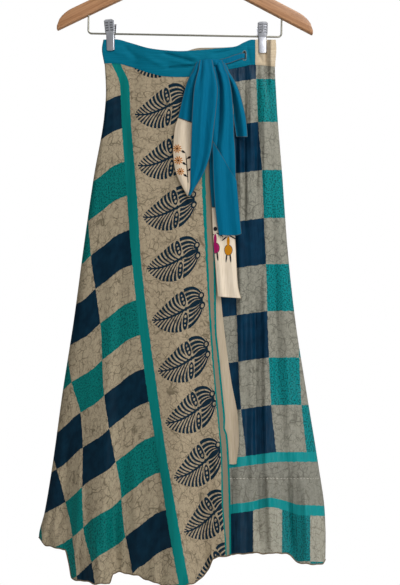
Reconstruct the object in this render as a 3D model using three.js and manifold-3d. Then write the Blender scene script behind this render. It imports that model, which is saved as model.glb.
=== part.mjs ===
// A wrap skirt with its own tie belt, held by the two clips of a wooden hanger.
// Millimetres, +Z up, +X to the right as seen from the front, +Y away from the front.
// The origin is the highest point of the inside of the hanger's hook.
//
// Each outline below is given as seen from EYE, at the plane of the hanger (y = 0).
// A point that lies nearer the eye or farther off is moved along its line of sight,
// so the outlines hold for a viewer who stands in front of the skirt.
import * as THREE from "three";
import { mergeVertices } from "three/addons/utils/BufferGeometryUtils.js";
import Module from "manifold-3d";

const wasm = await Module();
wasm.setup();

// Driving dimensions

const EYE = { x: 23, z: -657, distance: 1300 };

const CLOTH = 1.2; // wall of a single panel
const BAND = 2.0; // wall of the waistband, which is folded double
const TIE = 1.8; // wall of a tie, which is folded double
const SEAM_GAP = 0.3;
const PANEL_GAP = 0.5; // below the waistband, where the walls lean apart
const FOLD_GAP = 0.2; // half of the space between front and back at a side fold
const FOLD_STEPS = 4; // columns of points round a side fold

const WAIST_Z = -216;
const HEM_Z = -1165;
const SEAM_Z = -980; // the level seam across the underlap

const CLIP = {
  left: { x: -134, top: -181, turn: 1.5 },
  right: { x: 131.5, top: -185, turn: 0.5 },
  length: 55,
  gripHalf: 9, // half the width over which the clip holds front and back together
};
const PINCH = 1.4; // distance of the band's middle from y = 0 inside a clip

const HANGER = {
  turn: 1.05, // degrees, right side down
  half: 223,
  slope: 0.5,
  topAtCentre: -67.2, // where the straight top lines of the arms would meet
  bottomAtCentre: -92.5,
  topRound: 60, // half length of the rounded middle, above and below
  bottomRound: 75,
  thickness: 11,
  bevel: 2,
};
const BAR = { radius: 1.6, half: 168.4, z: -208, corner: 9, endZ: -164, bore: 1.95 };
const HOOK = { radius: 1.9, bend: 22, shankEnd: -96, bore: 2.3 };

// Tables, seen from the front at y = 0

const SIDE_FOLDS = [
  { z: -216, left: -145, right: 154 },
  { z: -232, left: -147.5, right: 155 },
  { z: -262, left: -143, right: 153 },
  { z: -307, left: -141, right: 155 },
  { z: -349, left: -144, right: 157.5 },
  { z: -454, left: -162, right: 166 },
  { z: -579, left: -180, right: 175 },
  { z: -705, left: -197, right: 188.5 },
  { z: -830, left: -216.5, right: 208 },
  { z: -956, left: -234, right: 228.5 },
  { z: -1040, left: -248, right: 240 },
  { z: -1084, left: -258, right: 241.5 },
  { z: -1125, left: -257, right: 241 },
];

const WAISTBAND = [
  { x: -148, top: -216, bottom: -257, backTop: -216 },
  { x: -124, top: -215.5, bottom: -257, backTop: -217 },
  { x: -99, top: -221.5, bottom: -263, backTop: -225 },
  { x: -65, top: -231, bottom: -274, backTop: -234 },
  { x: -38, top: -234.5, bottom: -280, backTop: -238 },
  { x: -12, top: -236, bottom: -281, backTop: -237.5 },
  { x: 23, top: -234, bottom: -279.5, backTop: -230 },
  { x: 58, top: -231, bottom: -271, backTop: -229.5 },
  { x: 85, top: -227.5, bottom: -265, backTop: -228 },
  { x: 101, top: -220, bottom: -262, backTop: -222 },
  { x: 113, top: -216, bottom: -259.5, backTop: -217 },
  { x: 156, top: -216, bottom: -263, backTop: -216 },
];
const BAND_ENDS = { overlap: 31, side: -62, teal: 119 }; // x of the ends of the band's pieces

const OVERLAP_EDGE = [
  { z: -262, x: 31 },
  { z: -408, x: 42 },
  { z: -478, x: 48 },
  { z: -600, x: 50 },
  { z: -722, x: 51.5 },
  { z: -757, x: 55 },
  { z: -844, x: 63.5 },
  { z: -923, x: 72 },
  { z: -1019, x: 76 },
  { z: -1113, x: 77 },
];
const UNDERLAP_EDGE = [
  { z: -262, x: -60 },
  { z: -1113, x: -118 },
];
const INNER_LAYER_EDGE = [
  { z: -262, x: 24 },
  { z: -480, x: 42 },
  { z: -583, x: 52 },
  { z: -705, x: 63 },
  { z: -810, x: 77 },
  { z: -879, x: 89 },
  { z: -914, x: 90.5 },
  { z: -956, x: 86 },
];
const INNER_LAYER = { width: 46, hem: -956, outAtBand: 1.5, out: 2.4, wall: 0.8 };

const OVERLAP_HEM = [
  { x: -258, z: -1084 },
  { x: -244, z: -1098 },
  { x: -230, z: -1103 },
  { x: -213, z: -1104 },
  { x: -206, z: -1130 },
  { x: -201, z: -1155 },
  { x: -164, z: -1163 },
  { x: -136, z: -1165 },
  { x: -129, z: -1147 },
  { x: -113, z: -1144.5 },
  { x: -82, z: -1153 },
  { x: -38, z: -1167 },
  { x: -12, z: -1170 },
  { x: 3, z: -1167 },
  { x: 21, z: -1158 },
  { x: 37, z: -1140 },
  { x: 46, z: -1119 },
  { x: 68, z: -1118 },
  { x: 77, z: -1113 },
];
const UNDERLAP_HEM = [
  { x: -118, z: -1112 },
  { x: 75, z: -1113 },
  { x: 115, z: -1111.5 },
  { x: 167, z: -1111.5 },
  { x: 180, z: -1115 },
  { x: 194, z: -1127 },
  { x: 215, z: -1131 },
  { x: 236, z: -1130 },
  { x: 241, z: -1123 },
];
const BACK_HEM = [
  { x: -258, z: -1084 },
  { x: -190, z: -1097 },
  { x: -60, z: -1101 },
  { x: 90, z: -1095 },
  { x: 190, z: -1103 },
  { x: 241, z: -1123 },
];

// Folds that hang from the waist: the place of the crest at the waist and at the hem, how far
// the crest fades to each side, how deep it is at the hem, and how far down it starts (0 to 1).
const OVERLAP_FOLDS = [
  { waist: -118, hem: -150, leftFade: 42, rightFade: 17, depth: 34, start: 0.3 },
  { waist: -40, hem: -8, leftFade: 62, rightFade: 27, depth: 28, start: 0.25 },
];
const FRONT_FOLDS = [
  { waist: 92, hem: 92, leftFade: 9, rightFade: 10, depth: 7, start: 0.06 },
  { waist: 112, hem: 118, leftFade: 10, rightFade: 12, depth: 9, start: 0.1 },
  { waist: 140, hem: 150, leftFade: 14, rightFade: 14, depth: 9, start: 0.3 },
  { waist: 152, hem: 212, leftFade: 20, rightFade: 20, depth: 17, start: 0.5 },
];
const BACK_FOLDS = [
  { waist: -90, hem: -170, leftFade: 34, rightFade: 30, depth: 20, start: 0.3 },
  { waist: -20, hem: -60, leftFade: 36, rightFade: 28, depth: 24, start: 0.35 },
  { waist: 50, hem: 60, leftFade: 30, rightFade: 36, depth: 18, start: 0.25 },
  { waist: 110, hem: 165, leftFade: 30, rightFade: 28, depth: 22, start: 0.4 },
];
const SIDE_BULGE = { x: 147, fade: 4, depth: 6, end: 0.12 }; // cream band puffed out beside the right clip

const FULLNESS = { frontWaist: 8.6, frontHem: 20, backWaist: 7, backHem: 18 };
const FOLD_RADIUS = { left: 1.4, right: 3.2, hem: 20 };
const LIFT = { band: 2.8, panel: 5, rise: 0.15 }; // overlap's distance in front of the underlap

// The strands of the bow: each row is a line across the strand, from one edge to the other,
// with its distance out from the skirt's front.
const LEFT_LOOP_BACK = [
  { ax: 19, az: -259.8, bx: 28, bz: -259.8, out: 10 },
  { ax: 2, az: -286, bx: 23, bz: -286, out: 10 },
  { ax: -7, az: -316, bx: 19, bz: -318, out: 10 },
  { ax: -15.5, az: -352, bx: 17.5, bz: -363.5, out: 10 },
];
const LEFT_LOOP_PIECED = [
  { ax: -15.6, az: -352.4, bx: 17.4, bz: -363.9, out: 10 },
  { ax: -21, az: -370, bx: 16, bz: -378, out: 10 },
  { ax: -24, az: -408, bx: 14, bz: -412, out: 10 },
  { ax: -21, az: -440, bx: 14, bz: -440, out: 10.3 },
  { ax: -15.5, az: -457, bx: 12, bz: -457, out: 10.7 },
  { ax: -5, az: -478, bx: 8, bz: -476, out: 10.9 },
  { ax: 0.5, az: -488, bx: 4, bz: -487, out: 11 },
];
const LEFT_LOOP_FRONT = [
  { ax: 22.5, az: -259.8, bx: 43.5, bz: -259.8, out: 14 },
  { ax: 17.5, az: -277, bx: 49, bz: -277, out: 15 },
  { ax: 12, az: -303.5, bx: 53, bz: -303.5, out: 15.5 },
  { ax: 9.5, az: -338, bx: 50.5, bz: -335, out: 15.5 },
  { ax: 8, az: -373, bx: 46, bz: -373, out: 15 },
  { ax: 7, az: -408, bx: 42, bz: -408, out: 14.5 },
  { ax: 6, az: -443, bx: 31.5, bz: -443, out: 14 },
  { ax: 6, az: -469, bx: 15, bz: -472, out: 13.6 },
  { ax: 2.5, az: -487, bx: 5.5, bz: -488.5, out: 13.4 },
];
const TAIL_UPPER = [
  { ax: 44, az: -259.8, bx: 61, bz: -259.8, out: 11.2 },
  { ax: 49, az: -277, bx: 71.5, bz: -277, out: 11 },
  { ax: 52.5, az: -303.5, bx: 77.5, bz: -303.5, out: 11 },
  { ax: 51.5, az: -338, bx: 80.5, bz: -338, out: 11 },
  { ax: 45.5, az: -382, bx: 82, bz: -382, out: 11 },
  { ax: 43.5, az: -408, bx: 84, bz: -408, out: 11 },
  { ax: 47, az: -440, bx: 85.5, bz: -466, out: 11 },
];
const TAIL_LOWER = [
  { ax: 44.5, az: -391, bx: 86.5, bz: -462, out: 14 },
  { ax: 46, az: -450, bx: 88, bz: -478, out: 14 },
  { ax: 48, az: -495, bx: 90, bz: -500, out: 13.6 },
  { ax: 51.5, az: -530, bx: 92.5, bz: -530, out: 13 },
  { ax: 56, az: -559, bx: 95, bz: -555, out: 12.4 },
];
const RIGHT_LOOP = [
  { ax: 52, az: -259.8, bx: 63, bz: -259.8, out: 7.6 },
  { ax: 62, az: -281, bx: 79, bz: -281, out: 7 },
  { ax: 71.5, az: -303.5, bx: 90, bz: -303.5, out: 7 },
  { ax: 77, az: -330, bx: 97.5, bz: -330, out: 7 },
  { ax: 81, az: -356, bx: 103, bz: -356, out: 7 },
  { ax: 85.5, az: -385.5, bx: 105.5, bz: -385.5, out: 7 },
];
const BACK_TAIL_TEAL = [
  { ax: 30, az: -259.8, bx: 50, bz: -259.8, out: 7.4 },
  { ax: 36.5, az: -338, bx: 61, bz: -338, out: 7.6 },
  { ax: 38.5, az: -408, bx: 66, bz: -408, out: 7.8 },
  { ax: 39.5, az: -460, bx: 71.5, bz: -460, out: 8 },
  { ax: 43, az: -508, bx: 80, bz: -508, out: 8 },
];
const BACK_TAIL_CREAM = [
  { ax: 43, az: -508.4, bx: 80.1, bz: -508.4, out: 8 },
  { ax: 45.5, az: -556, bx: 84, bz: -560, out: 8.2 },
  { ax: 49, az: -600, bx: 86, bz: -600, out: 8.6 },
  { ax: 51.5, az: -635, bx: 89, bz: -644, out: 9 },
  { ax: 54, az: -664, bx: 94, bz: -667, out: 9.3 },
];
const TIE_THROUGH_SLIT = [
  { ax: 66, az: -258.4, bx: 65.6, bz: -248.8, out: 7 },
  { ax: 73.5, az: -257, bx: 71.5, bz: -246.5, out: 6 },
  { ax: 85.5, az: -252.5, bx: 84, bz: -242, out: 4.2 },
  { ax: 96, az: -249, bx: 96, bz: -239, out: 3.2 },
  { ax: 99.3, az: -248.5, bx: 99.3, bz: -239, out: 2.2 },
  { ax: 100.3, az: -248.5, bx: 100.3, bz: -239, out: 0.6 },
  { ax: 100.3, az: -248.5, bx: 100.3, bz: -239, out: -0.6 },
];
const TIE_THROUGH_SLIT_WALL = 1.4;
const KNOT = { left: 18, right: 65, top: -247, bottom: -259.4, back: 4, depth: 15, bevel: 2.5, edge: 1.6 };
const SLIT = { x: 100.2, width: 4.2, top: -236, bottom: -251 };

// Interpolation

function smooth(from, to, value) {
  const t = THREE.MathUtils.clamp((value - from) / (to - from), 0, 1);
  return t * t * (3 - 2 * t);
}

// The value of a column of a table at a place between its rows, on a curve without overshoot.
function read(table, key, column, at) {
  const last = table.length - 1;
  const rising = table[last][key] > table[0][key];
  const passed = (row) => (rising ? row[key] <= at : row[key] >= at);
  let low = 0;
  while (low < last - 1 && passed(table[low + 1])) low += 1;
  const slopeAt = (n) => {
    if (n <= 0 || n >= last) return null;
    const before = slopeBetween(n - 1);
    const after = slopeBetween(n);
    return before * after <= 0 ? 0 : (2 * before * after) / (before + after);
  };
  const slopeBetween = (n) =>
    (table[n + 1][column] - table[n][column]) / (table[n + 1][key] - table[n][key]);
  const span = table[low + 1][key] - table[low][key];
  const t = THREE.MathUtils.clamp((at - table[low][key]) / span, 0, 1);
  const straight = slopeBetween(low);
  const from = (slopeAt(low) ?? straight) * span;
  const to = (slopeAt(low + 1) ?? straight) * span;
  const start = table[low][column];
  const end = table[low + 1][column];
  return (
    start * (2 * t ** 3 - 3 * t ** 2 + 1) +
    from * (t ** 3 - 2 * t ** 2 + t) +
    end * (3 * t ** 2 - 2 * t ** 3) +
    to * (t ** 3 - t ** 2)
  );
}

// A point seen at (x, z) in the plane of the hanger, moved along the line of sight to depth y.
function placed(x, y, z) {
  const nearer = (EYE.distance + y) / EYE.distance;
  return new THREE.Vector3(EYE.x + (x - EYE.x) * nearer, y, EYE.z + (z - EYE.z) * nearer);
}

// A geometry whose points are moved along their lines of sight in the same way.
function seated(geometry) {
  const position = geometry.attributes.position;
  for (let n = 0; n < position.count; n += 1) {
    const { x, y, z } = placed(position.getX(n), position.getY(n), position.getZ(n));
    position.setXYZ(n, x, y, z);
  }
  return geometry;
}

// The skirt's surfaces

const leftFold = (z) => read(SIDE_FOLDS, "z", "left", z);
const rightFold = (z) => read(SIDE_FOLDS, "z", "right", z);
const drop = (z) => THREE.MathUtils.clamp((WAIST_Z - z) / (WAIST_Z - HEM_Z), 0, 1);

function foldRadius(atWaist, z) {
  return THREE.MathUtils.lerp(atWaist, FOLD_RADIUS.hem, Math.sqrt(smooth(0.03, 1, drop(z))));
}

// How far a side fold's round carries the cloth out from y = 0 at a distance from its edge.
function foldRise(distance, radius) {
  const share = 1 - Math.min(distance / radius, 1);
  return radius * Math.sqrt(Math.max(0, 1 - share * share));
}

function hangingFolds(table, x, z) {
  const t = drop(z);
  return table.reduce((sum, fold) => {
    const crest = THREE.MathUtils.lerp(fold.waist, fold.hem, t);
    const fade = x < crest ? fold.leftFade : fold.rightFade;
    const spread = fade * THREE.MathUtils.lerp(0.6, 1, t);
    const depth = fold.depth * smooth(fold.start, 1.1, t);
    return sum + depth * Math.exp(-(((x - crest) / spread) ** 2));
  }, 0);
}

// Distance of a layer from y = 0, without the folds of its own.
function fullnessAt(x, z, waist, hem) {
  const left = leftFold(z);
  const right = rightFold(z);
  const fromLeft = x - left;
  const fromRight = right - x;
  const rise =
    fromLeft < fromRight
      ? foldRise(fromLeft, foldRadius(FOLD_RADIUS.left, z))
      : foldRise(fromRight, foldRadius(FOLD_RADIUS.right, z));
  const base = fromLeft < fromRight ? rise : Math.min(rise, rise * pinchShare(fromRight, z));
  const t = drop(z);
  const gripLeft = CLIP.left.x + CLIP.gripHalf;
  const gripRight = CLIP.right.x - CLIP.gripHalf;
  const held = THREE.MathUtils.clamp((x - gripLeft) / (gripRight - gripLeft), 0, 1);
  const free = THREE.MathUtils.clamp(fromLeft / (right - left), 0, 1);
  const loosened = smooth(0.04, 0.3, t);
  const swell =
    (1 - loosened) * Math.sin(Math.PI * held) ** 2 +
    loosened * Math.sin(Math.PI * free) ** 0.9;
  return base + THREE.MathUtils.lerp(waist, hem, Math.sqrt(t)) * swell;
}

// The right fold is wider than the pinched cloth inside its clip, so it closes up towards it.
function pinchShare(fromRight, z) {
  const closed = PINCH / foldRadius(FOLD_RADIUS.right, z);
  const near = smooth(FOLD_RADIUS.right, FOLD_RADIUS.right + 8, fromRight);
  const released = smooth(0.03, 0.1, drop(z));
  return THREE.MathUtils.lerp(THREE.MathUtils.lerp(1, closed, near), 1, released);
}

const towardsFolds = (x, z) => smooth(0, 26, Math.min(x - leftFold(z), rightFold(z) - x));

function frontDepth(x, z) {
  const bulge =
    SIDE_BULGE.depth *
    Math.exp(-(((x - SIDE_BULGE.x) / SIDE_BULGE.fade) ** 2)) *
    (1 - smooth(0.04, SIDE_BULGE.end, drop(z))) *
    smooth(0, 4, rightFold(z) - x);
  const swell = fullnessAt(x, z, FULLNESS.frontWaist, FULLNESS.frontHem);
  return FOLD_GAP + swell + bulge + hangingFolds(FRONT_FOLDS, x, z) * towardsFolds(x, z);
}

function overlapDepth(x, z) {
  const edge = read(UNDERLAP_EDGE, "z", "x", z);
  const over = smooth(edge - 35, edge - 10, x);
  const lift = THREE.MathUtils.lerp(LIFT.band, LIFT.panel, smooth(0.04, LIFT.rise, drop(z)));
  return frontDepth(x, z) + over * lift + hangingFolds(OVERLAP_FOLDS, x, z) * towardsFolds(x, z);
}

function innerLayerDepth(x, z) {
  const { outAtBand, out } = INNER_LAYER;
  return frontDepth(x, z) + THREE.MathUtils.lerp(outAtBand, out, smooth(0.06, 0.16, drop(z)));
}

function backDepth(x, z) {
  const swell = fullnessAt(x, z, FULLNESS.backWaist, FULLNESS.backHem);
  return FOLD_GAP + swell + hangingFolds(BACK_FOLDS, x, z) * towardsFolds(x, z);
}

const bandBottom = (x) => read(WAISTBAND, "x", "bottom", x);
const bandTop = (x) => read(WAISTBAND, "x", "top", x);
const backBandTop = (x) => read(WAISTBAND, "x", "backTop", x);
const backBandBottom = (x) => backBandTop(x) - (bandTop(x) - bandBottom(x));

// Closed cloth walls

// A closed wall round a grid of points: points[row][column], columns to the right, rows down.
function wallGeometry(points, thickness, leftNormal, rightNormal) {
  const rows = points.length - 1;
  const columns = points[0].length - 1;
  const half = thickness / 2;
  const position = [];
  const sides = [half, -half].map((offset) =>
    points.map((line, row) =>
      line.map((point, column) => {
        const across = points[row][Math.min(column + 1, columns)]
          .clone()
          .sub(points[row][Math.max(column - 1, 0)]);
        const down = points[Math.min(row + 1, rows)][column]
          .clone()
          .sub(points[Math.max(row - 1, 0)][column]);
        let normal = down.cross(across).normalize();
        if (column === 0 && leftNormal) normal = leftNormal;
        if (column === columns && rightNormal) normal = rightNormal;
        const moved = point.clone().addScaledVector(normal, offset);
        position.push(moved.x, moved.y, moved.z);
        return position.length / 3 - 1;
      }),
    ),
  );
  const [outer, inner] = sides;
  const index = [];
  for (let row = 0; row < rows; row += 1) {
    for (let column = 0; column < columns; column += 1) {
      const out = [
        outer[row][column],
        outer[row + 1][column],
        outer[row][column + 1],
        outer[row + 1][column + 1],
      ];
      const back = [
        inner[row][column],
        inner[row + 1][column],
        inner[row][column + 1],
        inner[row + 1][column + 1],
      ];
      index.push(out[0], out[1], out[2], out[2], out[1], out[3]);
      index.push(back[0], back[2], back[1], back[2], back[3], back[1]);
    }
  }
  for (let column = 0; column < columns; column += 1) {
    const next = column + 1;
    index.push(outer[0][column], outer[0][next], inner[0][column]);
    index.push(outer[0][next], inner[0][next], inner[0][column]);
    index.push(outer[rows][column], inner[rows][column], outer[rows][next]);
    index.push(outer[rows][next], inner[rows][column], inner[rows][next]);
  }
  for (let row = 0; row < rows; row += 1) {
    const next = row + 1;
    index.push(outer[row][0], inner[row][0], outer[next][0]);
    index.push(outer[next][0], inner[row][0], inner[next][0]);
    index.push(outer[row][columns], outer[next][columns], inner[row][columns]);
    index.push(outer[next][columns], inner[next][columns], inner[row][columns]);
  }
  return new THREE.BufferGeometry()
    .setAttribute("position", new THREE.Float32BufferAttribute(position, 3))
    .setIndex(index);
}

// The places of a row's columns, closer together round a side fold.
function stations(count, left, right, leftRadius, rightRadius) {
  const first = leftRadius ? FOLD_STEPS : 0;
  const lastFlat = rightRadius ? count - FOLD_STEPS : count;
  const from = left + leftRadius;
  const to = right - rightRadius;
  return Array.from({ length: count + 1 }, (_, n) => {
    if (n < first) return left + leftRadius * (1 - Math.cos((Math.PI * n) / 2 / FOLD_STEPS));
    if (n > lastFlat) {
      return right - rightRadius * (1 - Math.cos((Math.PI * (count - n)) / 2 / FOLD_STEPS));
    }
    return THREE.MathUtils.lerp(from, to, (n - first) / (lastFlat - first));
  });
}

const LEFTWARD = new THREE.Vector3(-1, 0, 0);
const RIGHTWARD = new THREE.Vector3(1, 0, 0);

// A piece of the skirt: its edges as functions of z, its ends as functions of x, its depth, and
// the way it faces (-1 for the front, +1 for the back).
function skirtPiece({ columns, rows, left, right, top, bottom, depth, facing, wall, folds }) {
  const spread = (z) =>
    stations(
      columns,
      left(z),
      right(z),
      folds.left ? foldRadius(FOLD_RADIUS.left, z) : 0,
      folds.right ? foldRadius(FOLD_RADIUS.right, z) : 0,
    );
  const meet = (edge, column) => {
    let z = edge((left(WAIST_Z) + right(WAIST_Z)) / 2);
    for (let n = 0; n < 8; n += 1) z = edge(spread(z)[column]);
    return z;
  };
  const columnsWide = Array.from({ length: columns + 1 }, (_, column) => column);
  const tops = columnsWide.map((column) => meet(top, column));
  const bottoms = columnsWide.map((column) => meet(bottom, column));
  const points = Array.from({ length: rows + 1 }, (_, row) => {
    const share = row / rows;
    return columnsWide.map((column) => {
      const z = THREE.MathUtils.lerp(tops[column], bottoms[column], share);
      const x = spread(z)[column];
      return placed(x, facing * depth(x, z), z);
    });
  });
  const leftNormal = facing < 0 ? LEFTWARD : RIGHTWARD;
  const rightNormal = facing < 0 ? RIGHTWARD : LEFTWARD;
  return wallGeometry(
    points,
    wall,
    folds.left ? leftNormal : null,
    folds.right ? rightNormal : null,
  );
}

// A strand of the bow, crowned across its width and set out from the skirt's front.
function strand(table, { rows, columns, wall, crown }) {
  const keyed = table.map((row, n) => ({ n, ...row }));
  const points = Array.from({ length: rows + 1 }, (_, row) => {
    const at = ((table.length - 1) * row) / rows;
    const value = (column) => read(keyed, "n", column, at);
    return Array.from({ length: columns + 1 }, (_unused, column) => {
      const share = column / columns;
      const x = THREE.MathUtils.lerp(value("ax"), value("bx"), share);
      const z = THREE.MathUtils.lerp(value("az"), value("bz"), share);
      const out = value("out") + crown * (Math.sin(Math.PI * share) - 0.5);
      return placed(x, -(frontDepth(x, z) + out), z);
    });
  });
  return wallGeometry(points, wall);
}

// Cutting and joining

function solidOf(geometry) {
  const bare = geometry.clone();
  bare.deleteAttribute("normal");
  bare.deleteAttribute("uv");
  const merged = mergeVertices(bare, 1e-4);
  return new wasm.Manifold(
    new wasm.Mesh({
      numProp: 3,
      vertProperties: merged.attributes.position.array,
      triVerts: new Uint32Array(merged.index.array),
    }),
  );
}

function geometryOf(solid) {
  const { numProp, vertProperties, triVerts } = solid.getMesh();
  const position = new Float32Array((vertProperties.length / numProp) * 3);
  for (let n = 0; n < position.length / 3; n += 1) {
    position.set(vertProperties.subarray(n * numProp, n * numProp + 3), n * 3);
  }
  return new THREE.BufferGeometry()
    .setAttribute("position", new THREE.BufferAttribute(position, 3))
    .setIndex(new THREE.BufferAttribute(triVerts, 1));
}

function cut(geometry, ...tools) {
  return geometryOf(tools.reduce((rest, tool) => rest.subtract(solidOf(tool)), solidOf(geometry)));
}

// Materials

const finish = (color, roughness, metalness = 0) =>
  new THREE.MeshStandardMaterial({ color, roughness, metalness });
const MATERIALS = {
  print: finish(0xa6987e, 0.75),
  checks: finish(0x0f2c3d, 0.75),
  teal: finish(0x0f6a82, 0.6),
  cream: finish(0xdccbb4, 0.85),
  wood: finish(0xb07f58, 0.5),
  steel: finish(0x9a958c, 0.35, 1),
  chrome: finish(0xcfd2d8, 0.2, 1),
  rubber: finish(0x4a4a4c, 0.8),
};

const part = new THREE.Group();

function add(name, geometry, material, parent = part) {
  const mesh = new THREE.Mesh(geometry, material);
  mesh.name = name;
  parent.add(mesh);
  return mesh;
}

// The skirt's panels

const BOTH_FOLDS = { left: true, right: true };
const below = (edge) => (x) => edge(x) - PANEL_GAP;

add(
  "overlap_panel",
  skirtPiece({
    columns: 30,
    rows: 20,
    left: leftFold,
    right: (z) => read(OVERLAP_EDGE, "z", "x", z),
    top: below(bandBottom),
    bottom: (x) => read(OVERLAP_HEM, "x", "z", x),
    depth: overlapDepth,
    facing: -1,
    wall: CLOTH,
    folds: { left: true, right: false },
  }),
  MATERIALS.print,
);

const underlapSides = {
  left: (z) => read(UNDERLAP_EDGE, "z", "x", z),
  right: rightFold,
  depth: frontDepth,
  facing: -1,
  wall: CLOTH,
  folds: { left: false, right: true },
};
add(
  "underlap_panel",
  skirtPiece({
    ...underlapSides,
    columns: 24,
    rows: 14,
    top: below(bandBottom),
    bottom: () => SEAM_Z,
  }),
  MATERIALS.checks,
);
add(
  "underlap_hem_piece",
  skirtPiece({
    ...underlapSides,
    columns: 24,
    rows: 4,
    top: () => SEAM_Z - SEAM_GAP,
    bottom: (x) => read(UNDERLAP_HEM, "x", "z", x),
  }),
  MATERIALS.checks,
);
add(
  "back_panel",
  skirtPiece({
    columns: 30,
    rows: 16,
    left: leftFold,
    right: rightFold,
    top: below(backBandBottom),
    bottom: (x) => read(BACK_HEM, "x", "z", x),
    depth: backDepth,
    facing: 1,
    wall: CLOTH,
    folds: BOTH_FOLDS,
  }),
  MATERIALS.print,
);
add(
  "inner_layer_edge",
  skirtPiece({
    columns: 4,
    rows: 16,
    left: (z) => read(INNER_LAYER_EDGE, "z", "x", z) - INNER_LAYER.width,
    right: (z) => read(INNER_LAYER_EDGE, "z", "x", z),
    top: below(below(bandBottom)),
    bottom: () => INNER_LAYER.hem,
    depth: innerLayerDepth,
    facing: -1,
    wall: INNER_LAYER.wall,
    folds: {},
  }),
  MATERIALS.cream,
);

// The waistband

const bandPiece = (from, to, columns, extra) =>
  skirtPiece({
    columns,
    rows: 3,
    left: from,
    right: to,
    top: bandTop,
    bottom: bandBottom,
    depth: frontDepth,
    facing: -1,
    wall: BAND,
    folds: {},
    ...extra,
  });
add(
  "band_overlap",
  bandPiece(leftFold, () => BAND_ENDS.overlap, 20, {
    depth: overlapDepth,
    folds: { left: true },
  }),
  MATERIALS.teal,
);
const slitTool = new THREE.BoxGeometry(SLIT.width, 40, SLIT.top - SLIT.bottom).translate(
  SLIT.x,
  0,
  (SLIT.top + SLIT.bottom) / 2,
);
add(
  "band_side",
  cut(
    bandPiece(
      () => BAND_ENDS.side,
      () => BAND_ENDS.teal,
      18,
      {},
    ),
    slitTool,
  ),
  MATERIALS.teal,
);
add(
  "band_side_cream",
  bandPiece(() => BAND_ENDS.teal + SEAM_GAP, rightFold, 14, { folds: { right: true } }),
  MATERIALS.cream,
);
add(
  "band_back",
  bandPiece(leftFold, rightFold, 30, {
    top: backBandTop,
    bottom: backBandBottom,
    depth: backDepth,
    facing: 1,
    folds: BOTH_FOLDS,
  }),
  MATERIALS.cream,
);

// The bow

const STRANDS = [
  ["left_loop_back", LEFT_LOOP_BACK, "teal", 6],
  ["left_loop_pieced", LEFT_LOOP_PIECED, "cream", 10],
  ["left_loop_front", LEFT_LOOP_FRONT, "teal", 16],
  ["tail_upper", TAIL_UPPER, "teal", 12],
  ["tail_lower", TAIL_LOWER, "teal", 8],
  ["right_loop", RIGHT_LOOP, "teal", 10],
  ["back_tail_teal", BACK_TAIL_TEAL, "teal", 8],
  ["back_tail_cream", BACK_TAIL_CREAM, "cream", 6],
];
STRANDS.forEach(([name, table, color, rows]) => {
  add(name, strand(table, { rows, columns: 4, wall: TIE, crown: 1 }), MATERIALS[color]);
});
add(
  "tie_through_slit",
  strand(TIE_THROUGH_SLIT, { rows: 12, columns: 3, wall: TIE_THROUGH_SLIT_WALL, crown: 0 }),
  MATERIALS.teal,
);

function knotGeometry() {
  const { left, right, top, bottom, back, depth, bevel, edge } = KNOT;
  const round = (top - bottom) / 2 - 0.5;
  const outline = new THREE.Shape()
    .moveTo(left + round, bottom)
    .lineTo(right - round, bottom)
    .quadraticCurveTo(right, bottom, right, (top + bottom) / 2)
    .quadraticCurveTo(right, top, right - round, top)
    .lineTo(left + round, top)
    .quadraticCurveTo(left, top, left, (top + bottom) / 2)
    .quadraticCurveTo(left, bottom, left + round, bottom);
  const geometry = new THREE.ExtrudeGeometry(outline, {
    depth: depth - 2 * bevel,
    bevelThickness: bevel,
    bevelSize: edge,
    bevelOffset: -edge,
    bevelSegments: 2,
    curveSegments: 5,
  }).rotateX(Math.PI / 2);
  const face = frontDepth(left, bottom) + back;
  return seated(geometry.translate(0, -face - bevel, 0));
}
add("tie_knot", knotGeometry(), MATERIALS.teal);

// The hanger

const hanger = new THREE.Group();
hanger.rotation.y = THREE.MathUtils.degToRad(HANGER.turn);
part.add(hanger);

function armsGeometry() {
  const { half, slope, topAtCentre, bottomAtCentre, topRound, bottomRound } = HANGER;
  const above = (x) => topAtCentre - slope * Math.abs(x);
  const under = (x) => bottomAtCentre - slope * Math.abs(x);
  const shoulder = half - 26;
  const toe = half - 3.5;
  const outline = new THREE.Shape()
    .moveTo(-toe, under(toe))
    .lineTo(-bottomRound, under(bottomRound))
    .quadraticCurveTo(0, bottomAtCentre, bottomRound, under(bottomRound))
    .lineTo(toe, under(toe))
    .quadraticCurveTo(half, under(toe), half, under(toe) + 5)
    .quadraticCurveTo(half - 3, above(shoulder) - 12, shoulder, above(shoulder))
    .lineTo(topRound, above(topRound))
    .quadraticCurveTo(0, topAtCentre, -topRound, above(topRound))
    .lineTo(-shoulder, above(shoulder))
    .quadraticCurveTo(-half + 3, above(shoulder) - 12, -half, under(toe) + 5)
    .quadraticCurveTo(-half, under(toe), -toe, under(toe));
  const solid = new THREE.ExtrudeGeometry(outline, {
    depth: HANGER.thickness - 2 * HANGER.bevel,
    bevelThickness: HANGER.bevel,
    bevelSize: HANGER.bevel,
    bevelOffset: -HANGER.bevel,
    bevelSegments: 2,
    curveSegments: 8,
  })
    .rotateX(Math.PI / 2)
    .translate(0, HANGER.thickness / 2 - HANGER.bevel, 0);
  const bore = (radius, x, low, high) =>
    new THREE.CylinderGeometry(radius, radius, high - low, 16)
      .rotateX(Math.PI / 2)
      .translate(x, 0, (low + high) / 2);
  const barTop = BAR.endZ + SEAM_GAP;
  const hookEnd = HOOK.shankEnd - SEAM_GAP;
  return cut(
    solid,
    bore(BAR.bore, -BAR.half, barTop - 30, barTop),
    bore(BAR.bore, BAR.half, barTop - 30, barTop),
    bore(HOOK.bore, 0, hookEnd, hookEnd + 30),
  );
}
add("hanger_arms", armsGeometry(), MATERIALS.wood, hanger);

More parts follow.
